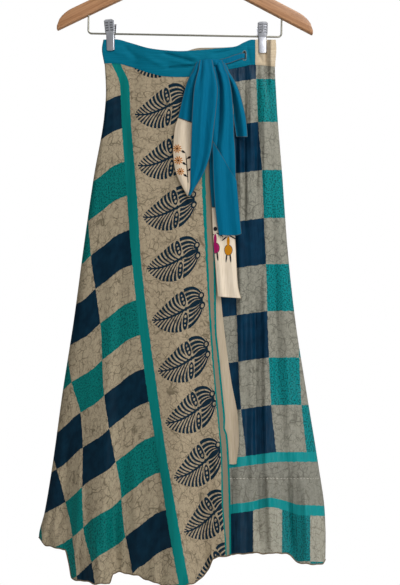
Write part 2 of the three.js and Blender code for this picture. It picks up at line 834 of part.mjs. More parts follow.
function wireGeometry(path, radius, steps) {
  const section = new THREE.Shape().absarc(0, 0, radius, 0, 2 * Math.PI, false);
  return new THREE.ExtrudeGeometry(section, {
    steps,
    curveSegments: 4,
    bevelEnabled: false,
    extrudePath: path,
  });
}

function barPath() {
  const { half, z, corner, endZ } = BAR;
  const at = (x, height) => new THREE.Vector3(x, 0, height);
  const path = new THREE.CurvePath();
  path.add(new THREE.LineCurve3(at(-half, endZ), at(-half, z + corner)));
  path.add(
    new THREE.QuadraticBezierCurve3(at(-half, z + corner), at(-half, z), at(corner - half, z)),
  );
  path.add(new THREE.LineCurve3(at(corner - half, z), at(half - corner, z)));
  path.add(
    new THREE.QuadraticBezierCurve3(at(half - corner, z), at(half, z), at(half, z + corner)),
  );
  path.add(new THREE.LineCurve3(at(half, z + corner), at(half, endZ)));
  return path;
}
add("hanger_bar", wireGeometry(barPath(), BAR.radius, 64), MATERIALS.steel, hanger);

// The hook's wire: up out of the wood, out to the right, over the top and down to the left.
function hookPath() {
  const { radius, bend, shankEnd } = HOOK;
  const centre = radius - bend;
  const points = [shankEnd, shankEnd + 18, shankEnd + 34, centre - bend - 8].map(
    (z) => new THREE.Vector3(0, 0, z),
  );
  const fromAngle = -50;
  const toAngle = 205;
  const count = 14;
  for (let n = 0; n <= count; n += 1) {
    const angle = THREE.MathUtils.degToRad(THREE.MathUtils.lerp(fromAngle, toAngle, n / count));
    points.push(
      new THREE.Vector3(bend * Math.cos(angle), 0, centre + bend * Math.sin(angle)),
    );
  }
  return new THREE.CatmullRomCurve3(points);
}
add("hanger_hook", wireGeometry(hookPath(), HOOK.radius, 40), MATERIALS.steel, hanger);

// The clips

const JAW = [
  { down: 0, y: 12, half: 8.7, flange: 2.4 },
  { down: 8, y: 10, half: 8.7, flange: 2.4 },
  { down: 19, y: 6.4, half: 8.5, flange: 2 },
  { down: 22, y: 5.4, half: 7.2, flange: 1.6 },
  { down: 26, y: 4.4, half: 7, flange: 1.2 },
  { down: 31, y: 4.4, half: 7, flange: 1.2 },
  { down: 43, y: 4.9, half: 7, flange: 1.6 },
  { down: 55, y: 5.1, half: 7, flange: 1.7 },
];
const JAW_WALL = 0.9;
const SPRING = { inner: 1.95, outer: 3.55, length: 11 };
const PAD = { width: 11.6, height: 9, wall: 1.5, y: 3.45 };

function jawGeometry(side) {
  const points = JAW.map(({ down, y, half, flange }) =>
    [
      [-half, y - flange],
      [-half, y],
      [-half / 3, y + 0.5],
      [half / 3, y + 0.5],
      [half, y],
      [half, y - flange],
    ].map(([x, depth]) => new THREE.Vector3(x * side, -depth * side, -down)),
  );
  return wallGeometry(points, JAW_WALL);
}

function springGeometry() {
  const { inner, outer, length } = SPRING;
  const profile = [
    new THREE.Vector2(inner, -length / 2),
    new THREE.Vector2(outer, -length / 2),
    new THREE.Vector2(outer, length / 2),
    new THREE.Vector2(inner, length / 2),
    new THREE.Vector2(inner, -length / 2),
  ];
  return new THREE.LatheGeometry(profile, 16).rotateZ(Math.PI / 2);
}

// The bar's height where it passes through a clip, after the hanger's turn.
const barHeight = (x) => {
  const turn = THREE.MathUtils.degToRad(HANGER.turn);
  const along = (x - BAR.z * Math.sin(turn)) / Math.cos(turn);
  return BAR.z * Math.cos(turn) - along * Math.sin(turn);
};

["left", "right"].forEach((name) => {
  const { x, top, turn } = CLIP[name];
  const clip = new THREE.Group();
  clip.position.set(x, 0, top);
  clip.rotation.y = THREE.MathUtils.degToRad(-turn);
  part.add(clip);
  add(`clip_${name}_front_jaw`, jawGeometry(1), MATERIALS.chrome, clip);
  add(`clip_${name}_rear_jaw`, jawGeometry(-1), MATERIALS.chrome, clip);
  const padAt = (y) =>
    new THREE.BoxGeometry(PAD.width, PAD.wall, PAD.height).translate(
      0,
      y,
      PAD.height / 2 - CLIP.length + 0.5,
    );
  add(`clip_${name}_front_pad`, padAt(-PAD.y), MATERIALS.rubber, clip);
  add(`clip_${name}_rear_pad`, padAt(PAD.y), MATERIALS.rubber, clip);
  const spring = add(`clip_${name}_spring`, springGeometry(), MATERIALS.chrome);
  spring.position.set(x, 0, barHeight(x));
  spring.rotation.y = THREE.MathUtils.degToRad(HANGER.turn);
});

export default part;
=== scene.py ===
"""Dresses a wrap skirt that hangs from the clips of a wooden hanger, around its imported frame.

The skirt is cut from a printed crepe: checks, a plain stripe and a border of leaves. Its waistband and
the bow are a plain teal cloth, pieced out with cream. Lengths are in millimetres until a point is
placed, and the placed meshes are in metres, in the frame's own axes.
"""

import logging
import math
from dataclasses import dataclass, replace
from enum import Enum
from typing import Callable, Sequence

import bpy
import numpy as np
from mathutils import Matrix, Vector

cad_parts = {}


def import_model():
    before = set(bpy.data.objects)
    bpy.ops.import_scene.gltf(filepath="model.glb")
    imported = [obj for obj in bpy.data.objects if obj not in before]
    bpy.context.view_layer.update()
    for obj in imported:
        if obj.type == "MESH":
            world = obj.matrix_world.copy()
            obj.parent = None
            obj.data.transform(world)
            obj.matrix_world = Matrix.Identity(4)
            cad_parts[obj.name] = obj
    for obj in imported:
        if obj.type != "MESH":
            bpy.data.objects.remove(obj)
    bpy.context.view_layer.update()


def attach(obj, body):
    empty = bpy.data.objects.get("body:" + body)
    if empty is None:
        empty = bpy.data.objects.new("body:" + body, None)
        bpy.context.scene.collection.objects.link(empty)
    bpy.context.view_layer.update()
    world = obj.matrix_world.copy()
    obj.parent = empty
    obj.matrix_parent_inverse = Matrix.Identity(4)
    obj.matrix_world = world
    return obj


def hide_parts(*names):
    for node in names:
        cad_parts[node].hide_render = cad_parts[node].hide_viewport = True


LOG = logging.getLogger("wrap_skirt")
MM = 0.001
BODY = "root"

Values = np.ndarray
Curve = Callable[[Values], Values]
Surface = Callable[[Values, Values], Values]
Places = tuple[Values, Values]
Pair = tuple[float, float]
Triple = tuple[float, float, float]
Object = bpy.types.Object
Mesh = bpy.types.Mesh
Material = bpy.types.Material
Socket = bpy.types.NodeSocket


class Slot(Enum):
    """The record's material slots."""

    OVERLAP = "overlap_print"
    UNDERLAP = "underlap_print"
    BACK = "back_print"
    TEAL = "teal_cloth"
    CREAM = "cream_cloth"
    WOOD = "hanger_wood"
    STEEL = "steel_wire"
    CHROME = "clip_chrome"
    PAD = "clip_pad"


class Side(Enum):
    """The side of the skirt that a layer faces: the sign of its distance along +Y."""

    FRONT = -1
    BACK = 1


# Numbers along a line


def smooth(start: float, end: float, value: Values) -> Values:
    """Rises softly from 0 at start to 1 at end.

    Args:
        start: Where the rise begins.
        end: Where it ends.
        value: The places to read.

    Returns:
        The share of the rise at each place.
    """
    t = np.clip((np.asarray(value, float) - start) / (end - start), 0, 1)
    return t * t * (3 - 2 * t)


def blend(start: Values, end: Values, share: Values) -> Values:
    """Goes straight from start, at share 0, to end, at share 1."""
    return start + (end - start) * share


@dataclass(frozen=True)
class Rows:
    """A short table. Its first column is the place that the others are read at."""

    columns: tuple[str, ...]
    rows: tuple[tuple[float, ...], ...]

    def curve(self, column: str) -> Curve:
        """A column as a curve."""
        return lambda at: self.read(column, at)

    def read(self, column: str, at: Values) -> Values:
        """Reads a column between its rows, on a curve without overshoot.

        Args:
            column: The name of the column.
            at: The places to read it at.

        Returns:
            The column's value at each place.
        """
        table = np.asarray(self.rows, float)
        keys, values = table[:, 0], table[:, self.columns.index(column)]
        if keys[-1] < keys[0]:
            keys, values = keys[::-1], values[::-1]
        at = np.clip(np.asarray(at, float), keys[0], keys[-1])
        straight = np.diff(values) / np.diff(keys)
        slopes = np.zeros_like(values)
        slopes[0], slopes[-1] = straight[0], straight[-1]
        before, after = straight[:-1], straight[1:]
        turning = before * after <= 0
        total = np.where(turning, 1, before + after)
        slopes[1:-1] = np.where(turning, 0, 2 * before * after / total)
        low = np.clip(np.searchsorted(keys, at, side="right") - 1, 0, len(keys) - 2)
        span = keys[low + 1] - keys[low]
        t = (at - keys[low]) / span
        return (
            values[low] * (2 * t**3 - 3 * t**2 + 1) + slopes[low] * span * (t**3 - 2 * t**2 + t) + values[
                low + 1
            ] * (3 * t**2 - 2 * t**3) + slopes[low + 1] * span * (t**3 - t**2)
        )


def table(columns: str, *rows: tuple[float, ...]) -> Rows:
    """A table whose columns are named in one string."""
    return Rows(tuple(columns.split()), rows)


# The form that every layer of cloth follows

# A soft ridge, or a trough where it sinks: from x and z to x and z, its width and its rise, in mm
Crease = tuple[float, float, float, float, float, float]


@dataclass(frozen=True)
class Fold:
    """A fold that hangs from the waist, in mm: where its crest is at the waist and at the hem, how far it
    fades to each side, how deep it is at the hem, and the share of the drop where it starts."""

    waist: float
    hem: float
    left_fade: float
    right_fade: float
    depth: float
    start: float


@dataclass(frozen=True)
class SkirtForm:
    """The skirt's layers as distances from the plane of the hanger, in mm, as the frame has them."""

    eye: Pair = (23, -657)
    eye_distance: float = 1300
    waist_z: float = -216
    hem_z: float = -1165
    grips: Pair = (-125, 122.5)
    pinch: float = 1.4
    fold_gap: float = 0.2
    fold_radius_left: float = 1.4
    fold_radius_right: float = 3.2
    fold_radius_hem: float = 20
    front_fullness: Pair = (8.6, 20)
    back_fullness: Pair = (7, 18)
    lift: Pair = (2.8, 5)
    inner_out: Pair = (1.5, 2.4)
    side_folds: Rows = table(
        "z left right", (-216, -145, 154), (-232, -147.5, 155), (-262, -143, 153), (-307, -141, 155),
        (-349, -144, 157.5), (-454, -162, 166), (-579, -180, 175), (-705, -197, 188.5), (-830, -216.5, 208),
        (-956, -234, 228.5), (-1040, -248, 240), (-1084, -258, 241.5), (-1125, -257, 241),
    )
    waistband: Rows = table(
        "x top bottom back_top", (-148, -216, -257, -216), (-124, -215.5, -257, -217),
        (-99, -221.5, -263, -225), (-65, -231, -274, -234), (-38, -234.5, -280, -238),
        (-12, -236, -281, -237.5), (23, -234, -279.5, -230), (58, -231, -271, -229.5),
        (85, -227.5, -265, -228), (101, -220, -262, -222), (113, -216, -259.5, -217),
        (156, -216, -263, -216),
    )
    overlap_edge: Rows = table(
        "z x", (-262, 31), (-408, 42), (-478, 48), (-600, 50), (-722, 51.5), (-757, 55), (-844, 63.5),
        (-880, 66.6), (-893, 66), (-904, 70), (-923, 72), (-1019, 76), (-1113, 77),
    )
    underlap_edge: Rows = table("z x", (-262, -60), (-1113, -118))
    inner_edge: Rows = table(
        "z x", (-262, 24), (-480, 42), (-583, 52), (-705, 63), (-810, 77), (-879, 89), (-914, 90.5),
        (-956, 86),
    )
    overlap_hem: Rows = table(
        "x z", (-258, -1084), (-244, -1098), (-230, -1103), (-213, -1104), (-206, -1130), (-201, -1155),
        (-164, -1163), (-136, -1165), (-129, -1147), (-113, -1144.5), (-82, -1153), (-38, -1167),
        (-12, -1170), (3, -1167), (21, -1158), (37, -1140), (46, -1119), (68, -1118), (77, -1113),
    )
    underlap_hem: Rows = table(
        "x z", (-118, -1112), (75, -1113), (115, -1111.5), (167, -1111.5), (180, -1115), (194, -1127),
        (215, -1131), (236, -1130), (241, -1123),
    )
    back_hem: Rows = table(
        "x z", (-258, -1084), (-190, -1097), (-60, -1101), (90, -1095), (190, -1103), (241, -1123),
    )
    overlap_folds: tuple[Fold, ...] = (Fold(-118, -150, 42, 17, 34, 0.3), Fold(-40, -8, 62, 27, 28, 0.25))
    front_folds: tuple[Fold, ...] = (
        Fold(92, 92, 9, 10, 7, 0.06), Fold(112, 118, 10, 12, 9, 0.1), Fold(140, 150, 14, 14, 9, 0.3),
        Fold(152, 212, 20, 20, 17, 0.5),
    )
    back_folds: tuple[Fold, ...] = (
        Fold(-90, -170, 34, 30, 20, 0.3), Fold(-20, -60, 36, 28, 24, 0.35), Fold(50, 60, 30, 36, 18, 0.25),
        Fold(110, 165, 30, 28, 22, 0.4),
    )

    def left(self, z: Values) -> Values:
        """The left side fold at a height."""
        return self.side_folds.read("left", z)

    def right(self, z: Values) -> Values:
        """The right side fold at a height."""
        return self.side_folds.read("right", z)

    def drop(self, z: Values) -> Values:
        """The share of the way from the waist, 0, to the hem, 1."""
        return np.clip((self.waist_z - z) / (self.waist_z - self.hem_z), 0, 1)

    def fold_radius(self, at_waist: float, z: Values) -> Values:
        """The radius of a side fold at a height, in mm."""
        opened = np.sqrt(smooth(0.03, 1, self.drop(z)))
        return blend(at_waist, self.fold_radius_hem, opened)

    def rise_from_fold(self, distance: Values, radius: Values) -> Values:
        """How far a side fold's round carries the cloth out from y = 0."""
        share = 1 - np.clip(distance / radius, 0, 1)
        return radius * np.sqrt(np.maximum(0, 1 - share * share))

    def hanging(self, folds: Sequence[Fold], x: Values, z: Values) -> Values:
        """The depth of a set of hanging folds, which fade out at the side folds.

        Args:
            folds: The folds.
            x: Places across, in mm.
            z: Heights, in mm.

        Returns:
            The depth at each place, in mm.
        """
        t = self.drop(z)
        depth = np.zeros_like(t + x)
        for fold in folds:
            crest = blend(fold.waist, fold.hem, t)
            fade = np.where(x < crest, fold.left_fade, fold.right_fade) * blend(0.6, 1, t)
            depth += fold.depth * smooth(fold.start, 1.1, t) * np.exp(-(((x - crest) / fade) ** 2))
        inside = np.minimum(x - self.left(z), self.right(z) - x)
        return depth * smooth(0, 26, inside)

    def fullness(self, x: Values, z: Values, ends: Pair) -> Values:
        """Distance of a layer from y = 0, without its hanging folds.

        Args:
            x: Places across, in mm.
            z: Heights, in mm.
            ends: How far the middle of the layer stands out at the waist and at the hem.

        Returns:
            The distance at each place, in mm.
        """
        left, right, t = self.left(z), self.right(z), self.drop(z)
        from_left, from_right = x - left, right - x
        rise_left = self.rise_from_fold(from_left, self.fold_radius(self.fold_radius_left, z))
        radius = self.fold_radius(self.fold_radius_right, z)
        rise_right = self.rise_from_fold(from_right, radius)
        near = smooth(self.fold_radius_right, self.fold_radius_right + 8, from_right)
        closing = blend(blend(1, self.pinch / radius, near), 1, smooth(0.03, 0.1, t))
        rise_right = np.minimum(rise_right, rise_right * closing)
        base = np.where(from_left < from_right, rise_left, rise_right)
        held = np.clip((x - self.grips[0]) / (self.grips[1] - self.grips[0]), 0, 1)
        free = np.clip(from_left / (right - left), 0, 1)
        loosened = smooth(0.04, 0.3, t)
        swell = (1 - loosened) * np.sin(math.pi * held) ** 2
        swell = swell + loosened * np.maximum(np.sin(math.pi * free), 0) ** 0.9
        return base + blend(ends[0], ends[1], np.sqrt(t)) * swell

    def front(self, x: Values, z: Values) -> Values:
        """The underlap's distance in front of the hanger's plane.

        Args:
            x: Places across, in mm.
            z: Heights, in mm.

        Returns:
            The distance at each place, in mm.
        """
        t = self.drop(z)
        puff = 6 * np.exp(-(((x - 147) / 4) ** 2)) * (1 - smooth(0.04, 0.12, t))
        puff = puff * smooth(0, 4, self.right(z) - x)
        swell = self.fullness(x, z, self.front_fullness)
        return self.fold_gap + swell + puff + self.hanging(self.front_folds, x, z)

    def overlap(self, x: Values, z: Values) -> Values:
        """The overlap's distance in front of the hanger's plane.

        Args:
            x: Places across, in mm.
            z: Heights, in mm.

        Returns:
            The distance at each place, in mm.
        """
        edge = self.underlap_edge.read("x", z)
        over = smooth(0, 25, x - edge + 35)
        lift = blend(self.lift[0], self.lift[1], smooth(0.04, 0.15, self.drop(z)))
        return self.front(x, z) + over * lift + self.hanging(self.overlap_folds, x, z)

    def inner(self, x: Values, z: Values) -> Values:
        """The cream inner layer's distance in front of the hanger's plane."""
        out = blend(self.inner_out[0], self.inner_out[1], smooth(0.06, 0.16, self.drop(z)))
        return self.front(x, z) + out

    def back(self, x: Values, z: Values) -> Values:
        """The back's distance behind the hanger's plane."""
        swell = self.fullness(x, z, self.back_fullness)
        return self.fold_gap + swell + self.hanging(self.back_folds, x, z)

    def placed(self, x: Values, y: Values, z: Values) -> Values:
        """Moves points seen at (x, z) along their lines of sight to a depth.

        Args:
            x: Places across at y = 0, in mm.
            y: Depths, in mm.
            z: Heights at y = 0, in mm.

        Returns:
            The points in metres, one row each.
        """
        x, y, z = np.broadcast_arrays(x, y, z)
        nearer = (self.eye_distance + y) / self.eye_distance
        across = self.eye[0] + (x - self.eye[0]) * nearer
        height = self.eye[1] + (z - self.eye[1]) * nearer
        return np.stack([across, y, height], axis=-1) * MM


def relief(creases: Sequence[Crease], x: Values, z: Values) -> Values:
    """How far a set of creases raises the cloth.

    Args:
        creases: The creases.
        x: Places across, in mm.
        z: Heights, in mm.

    Returns:
        The rise at each place, in mm.
    """
    total = np.zeros_like(x + z)
    for from_x, from_z, to_x, to_z, width, rise in creases:
        along = np.array([to_x - from_x, to_z - from_z])
        length = float(np.hypot(*along))
        along = along / length
        t = ((x - from_x) * along[0] + (z - from_z) * along[1]) / length
        off = (x - from_x) * along[1] - (z - from_z) * along[0]
        ends = smooth(-0.12, 0.25, t) * (1 - smooth(0.75, 1.12, t))
        total = total + rise * ends * np.exp(-((off / width) ** 2))
    return total


def ripple(along: Values, size: float) -> Values:
    """The small uneven waves of a rolled edge, in mm."""
    return size * (
        0.6 * np.sin(along / 5.3) + 0.5 * np.sin(along / 8.9 + 1.3) + 0.4 * np.sin(along / 3.1 + 0.4)
    )


# Mesh work


def deselect() -> None:
    """Leaves nothing selected."""
    bpy.ops.object.select_all(action="DESELECT")


def select_only(*pieces: Object) -> None:
    """Selects pieces alone.

    Args:
        *pieces: The objects, the first of which is made active.
    """
    deselect()
    for piece in pieces:
        piece.select_set(True)
    bpy.context.view_layer.objects.active = pieces[0]


def new_piece(name: str, add: Callable[..., object], **settings: object) -> Object:
    """Adds a primitive, a lamp or a camera with nothing else selected.

    Args:
        name: The piece's name.
        add: The operator that adds it.
        **settings: The operator's settings.

    Returns:
        The new object.
    """
    deselect()
    add(**settings)
    piece = bpy.context.object
    piece.name = name
    return piece


def apply_modifier(piece: Object, kind: str, **settings: object) -> None:
    """Adds a modifier with its settings and applies it.

    Args:
        piece: The mesh object.
        kind: The modifier's type, such as SOLIDIFY.
        **settings: Its properties by name.
    """
    select_only(piece)
    modifier = piece.modifiers.new(kind.title(), kind)
    for key, value in settings.items():
        setattr(modifier, key, value)
    bpy.ops.object.modifier_apply(modifier=modifier.name)


def shade(piece: Object, degrees: float = 60) -> None:
    """Smooths a piece's shading wherever its faces meet at less than an angle."""
    select_only(piece)
    bpy.ops.object.shade_smooth_by_angle(angle=math.radians(degrees))


def join(name: str, *pieces: Object) -> Object:
    """Joins pieces into one.

    Args:
        name: The joined piece's name.
        *pieces: The mesh objects, the first of which takes in the others.

    Returns:
        The joined piece.
    """
    select_only(*pieces)
    bpy.ops.object.join()
    joined = bpy.context.object
    joined.name = name
    return joined


def corners_of(mesh: Mesh) -> Values:
    """The mesh's points, one row each."""
    flat = np.empty(len(mesh.vertices) * 3)
    mesh.vertices.foreach_get("co", flat)
    return flat.reshape(-1, 3)


def move_corners(mesh: Mesh, points: Values) -> None:
    """Puts the mesh's points where they are wanted."""
    mesh.vertices.foreach_set("co", np.ascontiguousarray(points, np.float64).ravel())
    mesh.update()


def new_grid(name: str, columns: int, rows: int) -> tuple[Object, Values, Values]:
    """Adds a flat grid that is then laid over a surface.

    Args:
        name: The piece's name.
        columns: How many faces it has across.
        rows: How many faces it has down.

    Returns:
        The object, and each point's share of the way across and down.
    """
    sizes = {"x_subdivisions": columns, "y_subdivisions": rows, "size": 1}
    piece = new_piece(name, bpy.ops.mesh.primitive_grid_add, **sizes)
    points = corners_of(piece.data)
    return piece, points[:, 0] + 0.5, 0.5 - points[:, 1]


def write_uv(mesh: Mesh, name: str, per_loop: Values) -> None:
    """Writes a UV map, one row of two numbers for each face corner."""
    layer = mesh.uv_layers.get(name) or mesh.uv_layers.new(name=name)
    layer.data.foreach_set("uv", np.ascontiguousarray(per_loop, np.float64).ravel())


def loop_points(mesh: Mesh) -> Values:
    """The index of the point that each face corner uses."""
    index = np.empty(len(mesh.loops), dtype=np.int64)
    mesh.loops.foreach_get("vertex_index", index)
    return index


def map_points(mesh: Mesh, name: str, across: Values, along: Values) -> None:
    """Writes a UV map from two numbers for each of the mesh's points."""
    write_uv(mesh, name, np.stack([across, along], axis=-1)[loop_points(mesh)])


def tube(name: str, points: Values, radius: float, sides: int = 8) -> Object:
    """Makes a thread or wire along a line of points.

    Args:
        name: The piece's name.
        points: The line, in metres, one row for each point.
        radius: Half its thickness, in metres.
        sides: How many faces it has round.

    Returns:
        The mesh object.
    """
    data = bpy.data.curves.new(name, "CURVE")
    data.dimensions = "3D"
    data.bevel_depth = radius
    data.bevel_resolution = max(0, sides // 4 - 1)
    data.use_fill_caps = True
    line = data.splines.new("POLY")
    line.points.add(len(points) - 1)
    line.points.foreach_set("co", np.c_[points, np.ones(len(points))].ravel())
    piece = bpy.data.objects.new(name, data)
    bpy.context.collection.objects.link(piece)
    select_only(piece)
    bpy.ops.object.convert(target="MESH")
    shade(piece, 80)
    return piece


# Materials


def per_mm(size: float) -> float:
    """The scale of a pattern whose marks are this far apart, in mm."""
    return 1 / (size * MM)


def linear(hex_colour: str) -> tuple[float, float, float, float]:
    """Turns an sRGB hex colour into linear light.

    Args:
        hex_colour: Such as "#0f677c".

    Returns:
        Red, green, blue and alpha.
    """
    channels = []
    for start in (1, 3, 5):
        value = int(hex_colour[start : start + 2], 16) / 255
        channels.append(value / 12.92 if value <= 0.04045 else ((value + 0.055) / 1.055) ** 2.4)
    return (*channels, 1.0)


@dataclass(frozen=True)
class Sketch:
    """The node tree of a material or of the world while it is drawn."""

    tree: bpy.types.NodeTree
    material: Material | None = None

    def add(
        self, kind: str, inputs: dict, operation: str = "", out: int | str = 0, **settings: object
    ) -> Socket:
        """Adds a node with its settings and links.

        Args:
            kind: The node's type without the word ShaderNode.
            inputs: A value or a socket for each input, by its name or number.
            operation: What it does with them, if it is a kind that has a choice.
            out: The output that is wanted.
            **settings: The node's properties, or "stops" for a colour ramp.

        Returns:
            The wanted output socket.
        """
        node = self.tree.nodes.new("ShaderNode" + kind)
        for position, (place, colour) in enumerate(settings.pop("stops", ())):
            ramp = node.color_ramp
            stop = ramp.elements[position] if position < 2 else ramp.elements.new(place)
            stop.position = place
            stop.color = linear(colour)
        if operation:
            node.operation = operation
        if "steps" in settings:
            node.color_ramp.interpolation = settings.pop("steps")
        for key, value in settings.items():
            setattr(node, key, value)
        for key, value in inputs.items():
            if isinstance(value, Socket):
                self.tree.links.new(value, node.inputs[key])
            else:
                node.inputs[key].default_value = value
        return node.outputs[out]

    def close(self, shader: Socket) -> Material:
        """Links the finished shader to the material's output.

        Args:
            shader: The shader.

        Returns:
            The finished material.
        """
        output = self.tree.nodes.new("ShaderNodeOutputMaterial")
        self.tree.links.new(shader, output.inputs["Surface"])
        return self.material


MIX_A, MIX_B = 6, 7  # the colour inputs of a Mix node
COLOUR_MIX = {"out": 2, "data_type": "RGBA"}


def new_material(name: str) -> Sketch:
    """Adds an empty node material.

    Args:
        name: Its name, the real one's.

    Returns:
        The sketch that draws it.
    """
    material = bpy.data.materials.new(name)
    material.use_nodes = True
    material.node_tree.nodes.clear()
    return Sketch(material.node_tree, material)


@dataclass(frozen=True)
class Weave:
    """The hand of a cloth: how its threads and small crinkles catch the light.

    The real threads are 0.3 mm apart, too fine to show, so they are drawn as far apart as thread_mm says.
    """

    roughness: float
    shine: float
    sheen: float
    thread_mm: float
    thread_depth: float
    crinkle_mm: float
    crinkle_long: float
    crinkle_depth: float

    def shader(self, sketch: Sketch, colour: Socket, upright: bool) -> Socket:
        """Draws the cloth's shader.

        Args:
            sketch: The material's sketch.
            colour: The cloth's colour.
            upright: Whether the crinkles run down the hanging cloth, and not along the piece's own length.

        Returns:
            The shader.
        """
        add = sketch.add
        along = add("UVMap", {}, uv_map="print")
        threads = add(
            "TexNoise", {"Vector": along, "Scale": per_mm(self.thread_mm), "Detail": 1.0, "Roughness": 0.4},
        )
        place = add("TexCoord", {}, out="Object") if upright else along
        long_ways = (1, 1, 1 / self.crinkle_long) if upright else (1, 1 / self.crinkle_long, 1)
        stretched = add("Mapping", {"Vector": place, "Scale": long_ways})
        crinkles = add(
            "TexNoise",
            {"Vector": stretched, "Scale": per_mm(self.crinkle_mm), "Detail": 3.0, "Distortion": 0.4},
        )
        fine = add("Bump", {"Height": threads, "Distance": self.thread_depth * MM, "Strength": 0.6})
        bumped = add(
            "Bump",
            {"Height": crinkles, "Distance": self.crinkle_depth * MM, "Strength": 0.8, "Normal": fine},
        )
        return add(
            "BsdfPrincipled",
            {
                "Base Color": colour, "Roughness": self.roughness, "Normal": bumped,
                "Sheen Weight": self.sheen, "Sheen Roughness": 0.45, "Specular IOR Level": self.shine,
            },
        )


CREPE = Weave(0.52, 0.07, 0.0, 1.1, 0.12, 7, 9, 1.5)
SILKY_CREPE = Weave(0.36, 0.13, 0.0, 1.1, 0.12, 9, 12, 4.2)
COTTON = Weave(0.7, 0.04, 0.02, 1.2, 0.16, 12, 6, 1.5)


@dataclass(frozen=True)
class Dab:
    """One stroke of a printed motif: an ellipse in the motif's own units."""

    at: Pair
    half: Pair
    turn: float = 0
    colour: str = ""


def dab_mask(sketch: Sketch, place: Socket, dab: Dab) -> Socket:
    """Draws where a dab is: 1 inside its ellipse and 0 outside.

    Args:
        sketch: The material's sketch.
        place: The motif's own coordinates.
        dab: The ellipse.

    Returns:
        The mask.
    """
    local = sketch.add(
        "Mapping",
        {
            "Vector": place, "Location": (dab.at[0], dab.at[1], 0),
            "Rotation": (0, 0, math.radians(dab.turn)), "Scale": (dab.half[0], dab.half[1], 1),
        },
        vector_type="TEXTURE",
    )
    reach = sketch.add("VectorMath", {0: local}, out="Value", operation="LENGTH")
    return sketch.add("Math", {0: reach, 1: 1.0}, "LESS_THAN")


